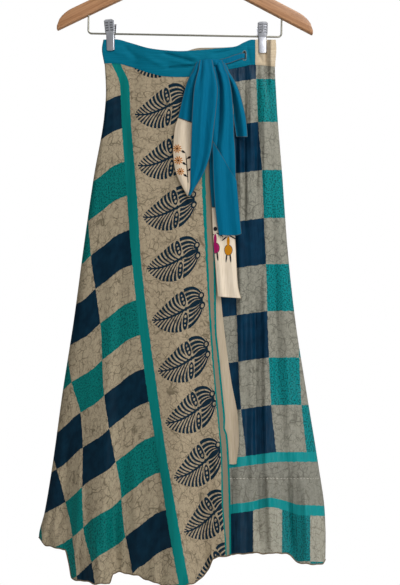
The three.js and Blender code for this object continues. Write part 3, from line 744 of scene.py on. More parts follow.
@dataclass(frozen=True)
class LeafMotif:
    """The border's leaf, in leaf lengths from its tip: feathered ribs, an eyed drop and a fan on each side.

    A rib is a stripe along a coordinate that leans towards the tip away from the bowed midrib, and a blade
    of the fan is a stripe round the leaf's foot.
    """

    bow: float = 0.5
    shear: float = 0.28
    lean: float = 1.4
    bend: float = 2.5
    ribs: float = 13.5
    rib_share: float = 0.44
    rib_growth: float = 0.8
    last_rib: float = 0.72
    rib_taper: float = 1.4
    half_width: float = 0.328
    foot: float = 1.0
    blades: float = 3.6
    blade_share: float = 0.66
    swirl: float = 7
    swirl_start: float = 0.45
    fan_start: float = 0.715
    fan_slant: float = 0.2
    fan_half: float = 0.338
    fan_wide: float = 0.66
    fan_fall: float = 0.43
    fan_taper: float = 3.0
    stem_half: float = 0.014
    stem_growth: float = 0.012
    drop: Dab = Dab((0.61, 0.188), (0.056, 0.138), 11)
    drop_gap: Dab = Dab((0.61, 0.188), (0.078, 0.16), 11)
    eyes: tuple[Dab, ...] = (
        Dab((0.625, 0.115), (0.022, 0.025)), Dab((0.61, 0.185), (0.02, 0.022)),
        Dab((0.595, 0.25), (0.014, 0.016)),
    )
    scroll: Dab = Dab((0.975, 0.085), (0.06, 0.062))
    scroll_eye: Dab = Dab((0.978, 0.092), (0.028, 0.032))

    def mask(self, sketch: Sketch) -> Socket:
        """Draws where the leaf's dark ink is.

        Args:
            sketch: The material's sketch.

        Returns:
            The mask. Each step below names its result, its sum and what it works on.
        """
        add = sketch.add
        split = add("SeparateXYZ", {0: add("UVMap", {}, uv_map="leaf")})
        made = {"u": split, "side": split.node.outputs[1]}
        steps = (
            ("left", "SUBTRACT", 1.0, "u"), ("left squared", "MULTIPLY", "left", "left"),
            ("bowed", "MULTIPLY", "left squared", "u"),
            ("centred", "MULTIPLY_ADD", "bowed", self.bow, "side"), ("v", "ABSOLUTE", "centred"),
            ("along", "MULTIPLY_ADD", "centred", -self.shear, "u"),
            ("bent", "MULTIPLY_ADD", "v", -self.bend, self.lean),
            ("root", "MULTIPLY_ADD", "bent", "v", "along"), ("counted", "MULTIPLY", "root", self.ribs),
            ("part", "FRACT", "counted"),
            ("rib width", "MULTIPLY_ADD", "v", self.rib_growth, self.rib_share),
            ("stroke", "LESS_THAN", "part", "rib width"), ("gone", "DIVIDE", "root", self.last_rib),
            ("rest", "SUBTRACT", 1.0, "gone"), ("short", "POWER", "rest", self.rib_taper),
            ("outline", "MULTIPLY_ADD", "short", -self.half_width, self.half_width),
            ("inside", "LESS_THAN", "v", "outline"), ("inner stroke", "MULTIPLY", "stroke", "inside"),
            ("past tip", "GREATER_THAN", "root", 0.0), ("before fan", "LESS_THAN", "root", self.last_rib),
            ("ribbed", "MULTIPLY", "past tip", "before fan"), ("rib", "MULTIPLY", "inner stroke", "ribbed"),
            ("reach", "SUBTRACT", self.foot, "along"), ("angle", "ARCTAN2", "v", "reach"),
            ("squared", "MULTIPLY", "reach", "reach"), ("from foot", "MULTIPLY_ADD", "v", "v", "squared"),
            ("far", "SQRT", "from foot"), ("swirled", "MULTIPLY_ADD", "far", self.swirl, self.swirl_start),
            ("blades", "MULTIPLY_ADD", "angle", self.blades, "swirled"), ("blade part", "FRACT", "blades"),
            ("blade", "LESS_THAN", "blade part", self.blade_share),
            ("over", "SUBTRACT", "along", self.fan_wide), ("end share", "DIVIDE", "over", self.fan_fall),
            ("fallen", "POWER", "end share", self.fan_taper),
            ("fan edge", "MULTIPLY_ADD", "fallen", -self.fan_half, self.fan_half),
            ("in fan", "LESS_THAN", "v", "fan edge"), ("inner blade", "MULTIPLY", "blade", "in fan"),
            ("slanted", "MULTIPLY_ADD", "v", self.fan_slant, "along"),
            ("fan from", "GREATER_THAN", "slanted", self.fan_start),
            ("to foot", "LESS_THAN", "along", self.foot), ("fanned", "MULTIPLY", "fan from", "to foot"),
            ("fan", "MULTIPLY", "inner blade", "fanned"),
            ("stem half", "MULTIPLY_ADD", "along", self.stem_growth, self.stem_half),
            ("in stem", "LESS_THAN", "v", "stem half"), ("from tip", "GREATER_THAN", "along", 0.0),
            ("stem length", "MULTIPLY", "from tip", "to foot"),
            ("stem", "MULTIPLY", "in stem", "stem length"),
        )
        for name, operation, *values in steps:
            inputs = {n: made.get(value, value) for n, value in enumerate(values)}
            made[name] = add("Math", inputs, operation)
        place = add("CombineXYZ", {0: made["along"], 1: made["v"]})
        gap = dab_mask(sketch, place, self.drop_gap)
        ink = add("Math", {0: made["rib"], 1: gap}, "SUBTRACT")
        drop, scroll = (dab_mask(sketch, place, dab) for dab in (self.drop, self.scroll))
        for shape in (made["fan"], made["stem"], drop, scroll):
            ink = add("Math", {0: ink, 1: shape}, "MAXIMUM")
        for eye in (*self.eyes, self.scroll_eye):
            ink = add("Math", {0: ink, 1: dab_mask(sketch, place, eye)}, "SUBTRACT")
        return add("Math", {0: ink, 1: 0.0}, "MAXIMUM")


@dataclass(frozen=True)
class PrintedCrepe:
    """Screen-printed polyester crepe, from a traditional checked cloth with a leaf border.

    The eye gets flat inks with crisp edges on a beige ground that is veined like cracked wax, a teal with
    dark specks, and long soft crinkles that catch the light.
    """

    name: str
    beige: str = "#aea087"
    border: str = "#b1a187"
    veins: str = "#4f4736"
    teal: str = "#077a74"
    specks: str = "#024b4c"
    navy: str = "#031f30"
    mottle: str = "#0a2f42"
    line: str = "#067d79"
    # The selvedge strip is print; its grey is painted shadow, as where the tie hangs over the edge.
    shadowed_selvedge: str = "#8c8370"
    leaf: str = "#0e2635"
    leaves: bool = False
    hand: Weave = CREPE
    square: Pair = (80, 60)
    stripe: float = 16
    line_at: Pair = (128, 132)
    edge_at: float = 146
    ramp_from: float = -10
    ramp_to: float = 160
    wander: float = 2.5
    wander_mm: float = 7.6923
    speck_mm: float = 2.6316
    mottle_mm: float = 16.6667
    grain_mm: float = 3.3333

    def ramp_place(self, across: float) -> float:
        """The place on the border's colour ramp of a distance across, in mm."""
        return (across - self.ramp_from) / (self.ramp_to - self.ramp_from)

    def make(self) -> Material:
        """Makes the material.

        Returns:
            The material.
        """
        sketch = new_material(self.name)
        add = sketch.add
        raw = add("UVMap", {}, uv_map="print")
        wander = add(
            "TexNoise", {"Vector": raw, "Scale": per_mm(self.wander_mm), "Detail": 1.0}, out="Color",
        )
        centred = add("VectorMath", {0: wander, 1: (0.5, 0.5, 0.5)}, "SUBTRACT")
        inked = add(
            "VectorMath", {0: centred, 1: (self.wander * MM, self.wander * MM, 0.0), 2: raw},
            "MULTIPLY_ADD",
        )
        split = add("SeparateXYZ", {0: inked})
        across, along = split, split.node.outputs[1]

        veined = self.veined(sketch, raw, self.beige)
        speck = add("TexNoise", {"Vector": raw, "Scale": per_mm(self.speck_mm), "Detail": 3.0})
        speck_at = add("ValToRGB", {0: speck}, stops=((0.47, "#000000"), (0.62, "#ffffff")))
        teal, specks = linear(self.teal), linear(self.specks)
        teal = add("Mix", {0: speck_at, MIX_A: teal, MIX_B: specks}, **COLOUR_MIX)
        mottle = add("TexNoise", {"Vector": raw, "Scale": per_mm(self.mottle_mm), "Detail": 3.0})
        navy = add("ValToRGB", {0: mottle}, stops=((0.3, self.navy), (0.8, self.mottle)))
        column = add("Math", {0: across, 1: self.square[0] * MM}, "DIVIDE")
        column = add("Math", {0: column}, "FLOOR")
        row = add("Math", {0: along, 1: self.square[1] * MM}, "DIVIDE")
        row = add("Math", {0: row}, "FLOOR")
        total = add("Math", {0: column, 1: row}, "ADD")
        coloured = add("Math", {0: total, 1: 2.0}, "FLOORED_MODULO")
        of_four = add("Math", {0: row, 1: 4.0}, "FLOORED_MODULO")
        is_teal = add("Math", {0: of_four, 1: 1.5}, "GREATER_THAN")
        ink = add("Mix", {0: is_teal, MIX_A: navy, MIX_B: teal}, **COLOUR_MIX)
        checks = add("Mix", {0: coloured, MIX_A: veined, MIX_B: ink}, **COLOUR_MIX)
        border = self.border_colour(sketch, raw, across)
        outside = add("Math", {0: across, 1: 0.0}, "GREATER_THAN")
        colour = add("Mix", {0: outside, MIX_A: checks, MIX_B: border}, **COLOUR_MIX)
        if self.leaves:
            on_ground = add("Math", {0: across, 1: self.line_at[0] * MM}, "LESS_THAN")
            ink = add("Math", {0: LeafMotif().mask(sketch), 1: on_ground}, "MULTIPLY")
            colour = add("Mix", {0: ink, MIX_A: colour, MIX_B: linear(self.leaf)}, **COLOUR_MIX)
        return sketch.close(self.hand.shader(sketch, colour, upright=True))

    def veined(self, sketch: Sketch, place: Socket, ground: str) -> Socket:
        """Draws the beige ground with its fine broken veins.

        Args:
            sketch: The material's sketch.
            place: The cloth's own coordinates.
            ground: The ground's colour.

        Returns:
            The colour.
        """
        add = sketch.add
        dark = None
        for cell_mm, line_share, strength in ((13.5, 0.075, "#dcdcdc"), (6, 0.12, "#b8b8b8")):
            wander = add(
                "TexNoise", {"Vector": place, "Scale": 1.1 / (cell_mm * MM), "Detail": 4.0}, out="Color"
            )
            reach = 1.1 * cell_mm * MM
            bent = add("VectorMath", {0: wander, 1: (reach, reach, 0.0), 2: place}, "MULTIPLY_ADD")
            cells = add(
                "TexVoronoi", {"Vector": bent, "Scale": per_mm(cell_mm)}, feature="DISTANCE_TO_EDGE",
            )
            thin = add("ValToRGB", {0: cells}, stops=((0.012, strength), (line_share, "#000000")))
            clouds = add("TexNoise", {"Vector": place, "Scale": 0.7 / (cell_mm * MM)})
            broken = add("ValToRGB", {0: clouds}, stops=((0.4, "#000000"), (0.52, "#ffffff")))
            vein = add("Math", {0: thin, 1: broken}, "MULTIPLY")
            dark = vein if dark is None else add("Math", {0: dark, 1: vein}, "MAXIMUM")
        grains = add("TexNoise", {"Vector": place, "Scale": per_mm(self.grain_mm), "Detail": 4.0})
        soft = add("ValToRGB", {0: grains}, stops=((0.44, "#000000"), (0.85, "#808080")))
        dark = add("Math", {0: dark, 1: soft}, "MAXIMUM")
        return add("Mix", {0: dark, MIX_A: linear(ground), MIX_B: linear(self.veins)}, **COLOUR_MIX)

    def border_colour(self, sketch: Sketch, place: Socket, across: Socket) -> Socket:
        """Draws the stripe, the leaf ground, the thin lines and the selvedge strip, whose grey is painted
        shadow.

        Args:
            sketch: The material's sketch.
            place: The cloth's own coordinates.
            across: The distance across the border.

        Returns:
            The colour.
        """
        add = sketch.add
        share = add("MapRange", {0: across, 1: self.ramp_from * MM, 2: self.ramp_to * MM, 3: 0.0, 4: 1.0})
        ground = self.veined(sketch, place, self.border)
        # The strip after the second thin line takes the grey of the painted shadow.
        lines = (
            (0.0, self.line), (self.ramp_place(self.stripe), "#000000"),
            (self.ramp_place(self.line_at[0]), self.line),
            (self.ramp_place(self.line_at[1]), self.shadowed_selvedge), (self.ramp_place(self.edge_at), self.line),
        )
        inks = add("ValToRGB", {0: share}, stops=lines, steps="CONSTANT")
        masks = tuple((spot, "#000000" if colour == "#000000" else "#ffffff") for spot, colour in lines)
        printed = add("ValToRGB", {0: share}, stops=masks, steps="CONSTANT")
        return add("Mix", {0: printed, MIX_A: ground, MIX_B: inks}, **COLOUR_MIX)


@dataclass(frozen=True)
class PlainCotton:
    """Plain woven cotton cambric, piece-dyed: an even colour, with slightly darker and lighter threads
    along the cloth and, if it has an edge colour, a darker line along its edges: its seamed edge and
    painted shade."""

    name: str
    colour: str
    thick_threads: str
    strength: float = 0.5
    # The line along the edges: partly the seamed edge, partly painted shade that sets a strand off from the
    # cloth under it.
    edge: str = ""
    slub_mm: float = 1.9231

    def ground(self, sketch: Sketch) -> Socket:
        """Draws the dyed ground with its slubs.

        Args:
            sketch: The material's sketch.

        Returns:
            The colour.
        """
        add = sketch.add
        place = add("UVMap", {}, uv_map="print")
        long_ways = add("Mapping", {"Vector": place, "Scale": (1.0, 0.06, 1.0)})
        slubs = add("TexNoise", {"Vector": long_ways, "Scale": per_mm(self.slub_mm), "Detail": 3.0})
        spread = add("MapRange", {0: slubs, 1: 0.35, 2: 0.75, 3: 0.0, 4: self.strength})
        dyes = {MIX_A: linear(self.colour), MIX_B: linear(self.thick_threads)}
        return add("Mix", {0: spread, **dyes}, **COLOUR_MIX)

    def make(self, dabs: Sequence[Dab] = ()) -> Material:
        """Makes the material.

        Args:
            dabs: The motifs printed on it, in metres as seen from the front.

        Returns:
            The material.
        """
        sketch = new_material(self.name)
        add = sketch.add
        colour = self.ground(sketch)
        # Seamed edge and painted shade: a darker line within about a millimetre of each edge.
        if self.edge:
            inset = add("SeparateXYZ", {0: add("UVMap", {}, uv_map="edge")})
            line = add("MapRange", {0: inset, 1: 0.3 * MM, 2: 1.3 * MM, 3: 0.7, 4: 0.0})
            colour = add("Mix", {0: line, MIX_A: colour, MIX_B: linear(self.edge)}, **COLOUR_MIX)
        if dabs:
            seen = add("UVMap", {}, uv_map="print")
            for dab in dabs:
                inside = dab_mask(sketch, seen, dab)
                colour = add("Mix", {0: inside, MIX_A: colour, MIX_B: linear(dab.colour)}, **COLOUR_MIX)
        return sketch.close(COTTON.shader(sketch, colour, upright=False))


@dataclass(frozen=True)
class HemThread:
    """Overlocked polyester thread, brown: tight turns round the rolled edge, so it looks like a fine dark
    cord."""

    name: str = "brown_overlock_thread"
    colour: str = "#5b4a36"
    light: str = "#82704f"
    turn_mm: float = 1.6

    def make(self) -> Material:
        """Makes the material.

        Returns:
            The material.
        """
        sketch = new_material(self.name)
        add = sketch.add
        place = add("TexCoord", {}, out="Object")
        turns = add("TexNoise", {"Vector": place, "Scale": per_mm(self.turn_mm)})
        colour = add("ValToRGB", {0: turns}, stops=((0.4, self.colour), (0.7, self.light)))
        bump = add("Bump", {"Height": turns, "Distance": 0.3 * MM, "Strength": 0.8})
        shader = add(
            "BsdfPrincipled", {"Base Color": colour, "Roughness": 0.7, "Normal": bump, "Sheen Weight": 0.2},
        )
        return sketch.close(shader)


@dataclass(frozen=True)
class Beech:
    """Sawn beech, sanded and satin lacquered: warm pinkish brown with fine darker flecks along the arm and
    a soft shine on its rounded edges."""

    name: str = "satin_lacquered_beech"
    light: str = "#c8966c"
    dark: str = "#9d6c45"
    fleck: str = "#8a5a38"
    grain_mm: float = 3.2
    fleck_mm: float = 1.1111
    slope: float = 26.5

    def make(self) -> Material:
        """Makes the material.

        Returns:
            The material.
        """
        sketch = new_material(self.name)
        add = sketch.add
        place = add("TexCoord", {}, out="Object")
        split = add("SeparateXYZ", {0: place})
        side = add("Math", {0: split}, "ABSOLUTE")
        mirrored = add("CombineXYZ", {0: side, 1: split.node.outputs[1], 2: split.node.outputs[2]})
        turned = add("Mapping", {"Vector": mirrored, "Rotation": (0, -math.radians(self.slope), 0)})
        grain_place = add("Mapping", {"Vector": turned, "Scale": (0.05, 1.0, 1.0)})
        grain = add("TexNoise", {"Vector": grain_place, "Scale": per_mm(self.grain_mm), "Detail": 4.0})
        base = add("ValToRGB", {0: grain}, stops=((0.3, self.dark), (0.72, self.light)))
        fleck_place = add("Mapping", {"Vector": turned, "Scale": (0.16, 1.0, 1.0)})
        flecks = add("TexNoise", {"Vector": fleck_place, "Scale": per_mm(self.fleck_mm), "Detail": 1.0})
        at = add("ValToRGB", {0: flecks}, stops=((0.62, "#000000"), (0.72, "#8c8c8c")))
        colour = add("Mix", {0: at, MIX_A: base, MIX_B: linear(self.fleck)}, **COLOUR_MIX)
        bump = add("Bump", {"Height": grain, "Distance": 0.08 * MM, "Strength": 0.5})
        shader = add(
            "BsdfPrincipled",
            {
                "Base Color": colour, "Roughness": 0.42, "Normal": bump, "Coat Weight": 0.2,
                "Coat Roughness": 0.25,
            },
        )
        return sketch.close(shader)


@dataclass(frozen=True)
class Metal:
    """A bare or plated metal: its reflections are broken by fine drawing lines or rubbed smudges, and
    its stamped slots, if it has any, are coloured near black: painted shade in their hollows."""

    name: str
    colour: str
    roughness: Pair
    mark_mm: float
    mark_depth: float
    # The near-black colour of the painted shade in the stamped slots, if any.
    slot_shade: str = ""

    def make(self) -> Material:
        """Makes the material.

        Returns:
            The material.
        """
        sketch = new_material(self.name)
        add = sketch.add
        place = add("TexCoord", {}, out="Object")
        marks = add("TexNoise", {"Vector": place, "Scale": per_mm(self.mark_mm), "Detail": 3.0})
        rough = add("MapRange", {0: marks, 1: 0.3, 2: 0.7, 3: self.roughness[0], 4: self.roughness[1]})
        bump = add("Bump", {"Height": marks, "Distance": self.mark_depth * MM, "Strength": 0.4})
        colour = linear(self.colour)
        # Painted shade: the stamped slots are coloured near black, where their hollows would be in shade.
        if self.slot_shade:
            slot_shade_mask = add("SeparateXYZ", {0: add("UVMap", {}, uv_map="stamp_and_slot_shade")})
            colour = add("Mix", {0: slot_shade_mask, MIX_A: colour, MIX_B: linear(self.slot_shade)}, **COLOUR_MIX)
        shader = add(
            "BsdfPrincipled", {"Base Color": colour, "Metallic": 1.0, "Roughness": rough, "Normal": bump},
        )
        return sketch.close(shader)


@dataclass(frozen=True)
class MouldedRubber:
    """Moulded black rubber, handled: matt, with a faint grain and greyer where it is rubbed."""

    name: str = "moulded_grip_rubber"
    colour: str = "#3a3a3c"
    rubbed: str = "#565658"
    grain_mm: float = 1.1

    def make(self) -> Material:
        """Makes the material.

        Returns:
            The material.
        """
        sketch = new_material(self.name)
        add = sketch.add
        place = add("TexCoord", {}, out="Object")
        grain = add("TexNoise", {"Vector": place, "Scale": per_mm(self.grain_mm)})
        colour = add("ValToRGB", {0: grain}, stops=((0.4, self.colour), (0.8, self.rubbed)))
        bump = add("Bump", {"Height": grain, "Distance": 0.1 * MM, "Strength": 0.5})
        shader = add("BsdfPrincipled", {"Base Color": colour, "Roughness": 0.8, "Normal": bump})
        return sketch.close(shader)


# Where the print lies on the cloth


@dataclass(frozen=True)
class SariPrint:
    """Where the printed checks, stripe, border and leaves lie on each panel, seen from the front, in mm.

    Across runs over the border: below 0 are the checks' 80 mm columns, then the 16 mm stripe and the leaf
    ground. Along runs with the border, in 60 mm rows.
    """

    column: float = 80
    row: float = 60
    stripe: float = 16
    line_at: Pair = (128, 132)
    edge_at: Pair = (146, 150)
    leaf_length: float = 95.5
    leaf_middle: float = 0.55
    underlap_fall: float = 0.135
    underlap_row: float = 53
    back_stripe_z: float = -1008
    back_wave: Pair = (4, 60)
    back_stretch: float = 1.06
    back_start: float = 17
    checks: Rows = table(
        "z fourth third second first stripe", (-255.5, -405, -345, -275, -205, -132.6),
        (-294.7, -385, -325, -258, -190, -116.9), (-369.8, -369, -309, -248, -183, -113.4),
        (-490.2, -363, -304, -242.6, -174.5, -104.7), (-593, -357, -297, -235.6, -167.5, -96.8),
        (-731, -334, -274, -213, -149.5, -82), (-815, -320, -260, -200.7, -146, -71.5),
        (-870.6, -306, -246, -185, -140, -62.8), (-931.7, -295, -235.6, -181.5, -129, -52.4),
        (-997, -278, -218, -183.2, -116.2, -42.8), (-1066, -254, -201.6, -181.5, -110, -32.3),
        (-1132, -250, -193.7, -165.8, -97.2, -20.9), (-1167, -245, -190, -160, -92, -14),
    )
    border: Rows = table(
        "z ground line after_line", (-258, -116.9, 20, 26), (-294.7, -101.2, 21.5, 28),
        (-338.4, -99.5, 22.7, 29.7), (-408, -94.2, 24, 31), (-495.4, -87.3, 26.5, 33.4),
        (-582.7, -82, 31.5, 36.5), (-670, -73.3, 36.5, 40.5), (-765.9, -61.1, 43, 46.6),
        (-827, -52.4, 48.5, 51.5), (-879.3, -45.4, 53.5, 56.5), (-949, -34.9, 59, 62),
        (-1018.9, -22.7, 60.2, 63.2), (-1088.7, -10.5, 65.5, 68.5), (-1167.2, 3.5, 70, 73),
    )
    stripe_rows: Rows = table(
        "z row", (-255.5, -5), (-312.2, -4), (-547.8, 0), (-731, 3), (-907.2, 6), (-1100.9, 9),
        (-1167, 10.05),
    )
    row_fall: Rows = table(
        "away fall", (0, 0), (14, 5.2), (26, 12.2), (44, 27), (66, 43.6), (82, 59), (99.5, 70),
        (118.7, 82), (132.6, 95), (150, 111), (192, 136), (260, 190),
    )
    leaves: tuple[Triple, ...] = (
        (-96, -258, 18), (-90.7, -346.2, 18.4), (-85.5, -435.2, 18.6), (-76.8, -525.1, 19),
        (-69.8, -614.9, 20), (-61.1, -704.8, 21.5), (-50.6, -793.8, 24), (-37.5, -884.5, 27),
        (-22.7, -980.5, 32), (-5.2, -1074.7, 36), (12.2, -1169, 38),
    )
    middle_seam: Rows = table(
        "z x", (-284, 120.4), (-356, 123.9), (-443, 130.9), (-527, 134.4), (-609, 137.9), (-740, 141.3),
        (-851, 146.6), (-935, 155.3),
    )
    level_rows: Rows = table(
        "z across", (-202, -720), (-284.3, -640), (-359.3, -560), (-443, -480), (-526.8, -400),
        (-607.1, -320), (-689.1, -240), (-770.2, -160), (-853.1, -80), (-935.1, 0), (-951.6, 16),
        (-1000, 62),
    )
    low_stripe: Rows = table(
        "x top bottom", (71.5, -1027.6, -1043.3), (110, -1022.4, -1038.1), (144.8, -1015.4, -1031.1),
        (171, -1020.6, -1037), (197, -1027.6, -1045), (240.8, -1029.4, -1046.8),
    )
    low_blocks: Rows = table(
        "x along", (4, -60), (64.6, 0), (115.2, 60), (165.8, 120), (214.6, 180), (263.5, 240),
    )

    def between(self, x: Values, stops: Sequence[tuple[Values, float]]) -> Values:
        """Goes straight between places that differ at each point, and on past the last two.

        Args:
            x: The places to read.
            stops: Places across and their values, from left to right.

        Returns:
            The value at each place.
        """
        result = None
        for (low, low_value), (high, high_value) in zip(stops[:-1], stops[1:]):
            value = low_value + (x - low) / (high - low) * (high_value - low_value)
            result = value if result is None else np.where(x >= low, value, result)
        return result

    def on_overlap(self, form: SkirtForm, x: Values, z: Values) -> Places:
        """Where the print is on the overlap, whose rows fall away to the left of the stripe.

        Args:
            form: The form that the overlap lies on.
            x: Places across, in mm.
            z: Heights, in mm.

        Returns:
            The distances across and along the cloth, in mm.
        """
        names = ("fourth", "third", "second", "first", "stripe")
        stops = [(self.checks.read(name, z), -self.column * (4 - n)) for n, name in enumerate(names)]
        edge = form.overlap_edge.read("x", z)
        stops += [
            (self.border.read("ground", z), self.stripe), (self.border.read("line", z), self.line_at[0]),
            (self.border.read("after_line", z), self.line_at[1]), (edge - 4, self.edge_at[0]),
            (edge, self.edge_at[1]),
        ]
        level = np.array(z, float)
        for _ in range(8):
            away = self.checks.read("stripe", level) - x
            level = z + self.row_fall.read("fall", away)
        return self.between(x, stops), self.row * self.stripe_rows.read("row", level)

    def on_underlap(self, x: Values, z: Values) -> Places:
        """Across and along on the underlap, where the cloth is turned a quarter."""
        middle = self.middle_seam.read("x", z)
        level = z + self.underlap_fall * np.maximum(middle - x, 0)
        return self.level_rows.read("across", level), -self.row * (x - middle) / self.underlap_row

    def on_hem_piece(self, x: Values, z: Values) -> Places:
        """Where the print is on the underlap's hem piece, which hangs the other way up.

        Args:
            x: Places across, in mm.
            z: Heights, in mm.

        Returns:
            The distances across and along the cloth, in mm.
        """
        top, bottom = self.low_stripe.read("top", x), self.low_stripe.read("bottom", x)
        share = (z - bottom) / (top - bottom)
        inside = np.where(share > 0, share * self.stripe, z - bottom)
        across = np.where(share > 1, self.stripe + (z - top), inside)
        return across, self.low_blocks.read("along", x)

    def on_back(self, x: Values, z: Values) -> Places:
        """Across and along on the back, cut level like the underlap, its border at the hem."""
        wave = self.back_wave[0] * np.sin(x / self.back_wave[1])
        return -(z - self.back_stripe_z) + wave, self.back_stretch * (x - self.back_start)

    def leaf_places(self, x: Values, z: Values, face_x: Values, face_z: Values) -> Values:
        """The leaf coordinates of the nearest leaf.

        Args:
            x: Face corners across, in mm, one row for each face.
            z: Face corners' heights, in mm.
            face_x: The faces' centres across.
            face_z: The faces' centres' heights.

        Returns:
            The distance along and across the leaf of each corner, in leaf lengths.
        """
        best = np.full(face_x.shape, np.inf)
        found = np.full((*x.shape, 2), -5.0)
        for tip_x, tip_z, turn in self.leaves:
            cos, sin = math.cos(math.radians(turn)), math.sin(math.radians(turn))

            def local(at_x: Values, at_z: Values) -> Places:
                """Turns places into this leaf's own.

                Args:
                    at_x: Places across, in mm.
                    at_z: Heights, in mm.

                Returns:
                    The places along and across the leaf, in leaf lengths.
                """
                right, up = at_x - tip_x, at_z - tip_z
                return (
                    (right * cos + up * sin) / self.leaf_length,
                    (up * cos - right * sin) / self.leaf_length,
                )

            u, v = local(face_x, face_z)
            distance = np.hypot(u - self.leaf_middle, v)
            nearer = distance < best
            best = np.where(nearer, distance, best)
            here = np.stack(local(x, z), axis=-1)
            found = np.where(nearer[:, None, None], here, found)
        return found


# The cloth pieces


@dataclass(frozen=True)
class Cut:
    """A piece's flat size before it was sewn, in mm, and the share of that rectangle that it fills."""

    width: float
    length: float
    share: float = 1.0


@dataclass(frozen=True)
class Piece:
    """What is known about a piece of cloth."""

    name: str
    node: str
    slot: Slot
    cut: Cut
    rests_on: tuple[str, ...]
    held: str = "hung"


def hand_over(piece: Object, material: Material, slot: Slot, node: str = "") -> None:
    """Dresses a piece and makes it ride on the frame and stand for its node.

    Args:
        piece: The mesh object.
        material: Its finish.
        slot: The record's slot for it; not used.
        node: The node that it stands for, if it does.
    """
    piece.data.materials.append(material)
    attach(piece, BODY)
    if node:
        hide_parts(node)
    LOG.info("%s: %d faces", piece.name, len(piece.data.polygons))


def declare(piece: Object, material: Material, facts: Piece, *trims: Object) -> None:
    """Args:
        piece: The mesh object.
        material: Its finish.
        facts: Its name, node, slot and cut.
        *trims: The separate pieces sewn on it; not used.
    """
    hand_over(piece, material, facts.slot, facts.node)
    list(facts.rests_on)


@dataclass(frozen=True)
class Panel:
    """A piece of the skirt, laid over one of the form's surfaces between two edges and two ends."""

    facts: Piece
    form: SkirtForm
    side: Side
    depth: Surface
    left: Curve
    right: Curve
    top: Curve
    bottom: Curve
    printed: Callable[[Values, Values], Places]
    columns: int
    rows: int
    wall: float = 1.0
    creases: tuple[Crease, ...] = ()
    round_left: bool = False
    round_right: bool = False
    hem_ripple: float = 0
    fold_share: float = 0.1
    puff: float = 0
    crease_share: float = 1.7
    seam_z: float = -980
    seam_pucker: float = 0

    def across(self, share: Values, z: Values) -> Values:
        """The place across at a share of the width, closer together round a side fold.

        Args:
            share: The share of the way across.
            z: Heights, in mm.

        Returns:
            The places across, in mm.
        """
        left, right = self.left(z), self.right(z)
        form, first, last = self.form, self.fold_share, 1 - self.fold_share
        if self.round_left:
            radius = form.fold_radius(form.fold_radius_left, z)
            inner = left + radius
            fold = left + radius * (1 - np.cos(math.pi / 2 * np.clip(share / first, 0, 1)))
        else:
            inner, fold, first = left, left, 0
        if self.round_right:
            radius = form.fold_radius(form.fold_radius_right, z)
            outer = right - radius
            turn = np.clip((1 - share) / self.fold_share, 0, 1)
            far_fold = right - radius * (1 - np.cos(math.pi / 2 * turn))
        else:
            outer, far_fold, last = right, right, 1
        flat = inner + (outer - inner) * (share - first) / (last - first)
        return np.where(share < first, fold, np.where(share > last, far_fold, flat))

    def end(self, edge: Curve, share: Values) -> Values:
        """The height where each column meets the piece's top or bottom.

        Args:
            edge: The line of that end.
            share: Each column's share of the way across.

        Returns:
            The heights, in mm.
        """
        waist = np.array(float(self.form.waist_z))
        z = edge(np.full_like(share, (self.left(waist) + self.right(waist)) / 2))
        for _ in range(14):
            z = edge(self.across(share, z))
        return z

    def seen(self, share: Values, down: Values) -> Places:
        """Where points lie, seen from the front.

        Args:
            share: Their share of the way across.
            down: Their share of the way down.

        Returns:
            Their places across and their heights, in mm.
        """
        top, bottom = self.end(self.top, share), self.end(self.bottom, share)
        z = blend(top, bottom, down)
        return self.across(share, z), z

    def surface(self, share: Values, down: Values) -> tuple[Values, Values, Values]:
        """Where points lie, with their creases, puckers and rippled hem.

        Args:
            share: Their share of the way across.
            down: Their share of the way down.

        Returns:
            Their places across, their distances from the hanger's plane and their heights, in mm.
        """
        x, z = self.seen(share, down)
        inside = np.minimum(x - self.form.left(z), self.form.right(z) - x)
        out = self.depth(x, z) + self.crease_share * relief(self.creases, x, z) * smooth(0, 14, inside)
        out = out + self.puff * np.sin(math.pi * down) ** 0.7
        pucker = np.exp(-(((z - self.seam_z) / 4.5) ** 2)) * smooth(0, 14, inside)
        out = out + self.seam_pucker * pucker * (ripple(x * 2.4, 0.8) - 0.7)
        if self.hem_ripple:
            near = smooth(0.95, 1.0, down)
            out = out + near * ripple(x, self.hem_ripple)
            z = z + near * 0.6 * ripple(x * 1.13 + 40, self.hem_ripple)
        return x, out, z

    def points(self, share: Values, down: Values) -> Values:
        """The placed points, in metres."""
        x, out, z = self.surface(share, down)
        return self.form.placed(x, self.side.value * out, z)

    def build(self) -> Object:
        """Lays the piece out, maps its print and gives it its thickness.

        Returns:
            The mesh object.
        """
        piece, share, down = new_grid(self.facts.name, self.columns, self.rows)
        move_corners(piece.data, self.points(share, down))
        x, z = self.seen(share, down)
        across, along = self.printed(x, z)
        map_points(piece.data, "print", across * MM, along * MM)
        index = loop_points(piece.data)
        corner_x, corner_z = x[index].reshape(-1, 4), z[index].reshape(-1, 4)
        leaf = SariPrint().leaf_places(corner_x, corner_z, corner_x.mean(axis=1), corner_z.mean(axis=1))
        write_uv(piece.data, "leaf", leaf.reshape(-1, 2))
        apply_modifier(piece, "SOLIDIFY", thickness=self.wall * MM, offset=0)
        shade(piece, 75)
        return piece


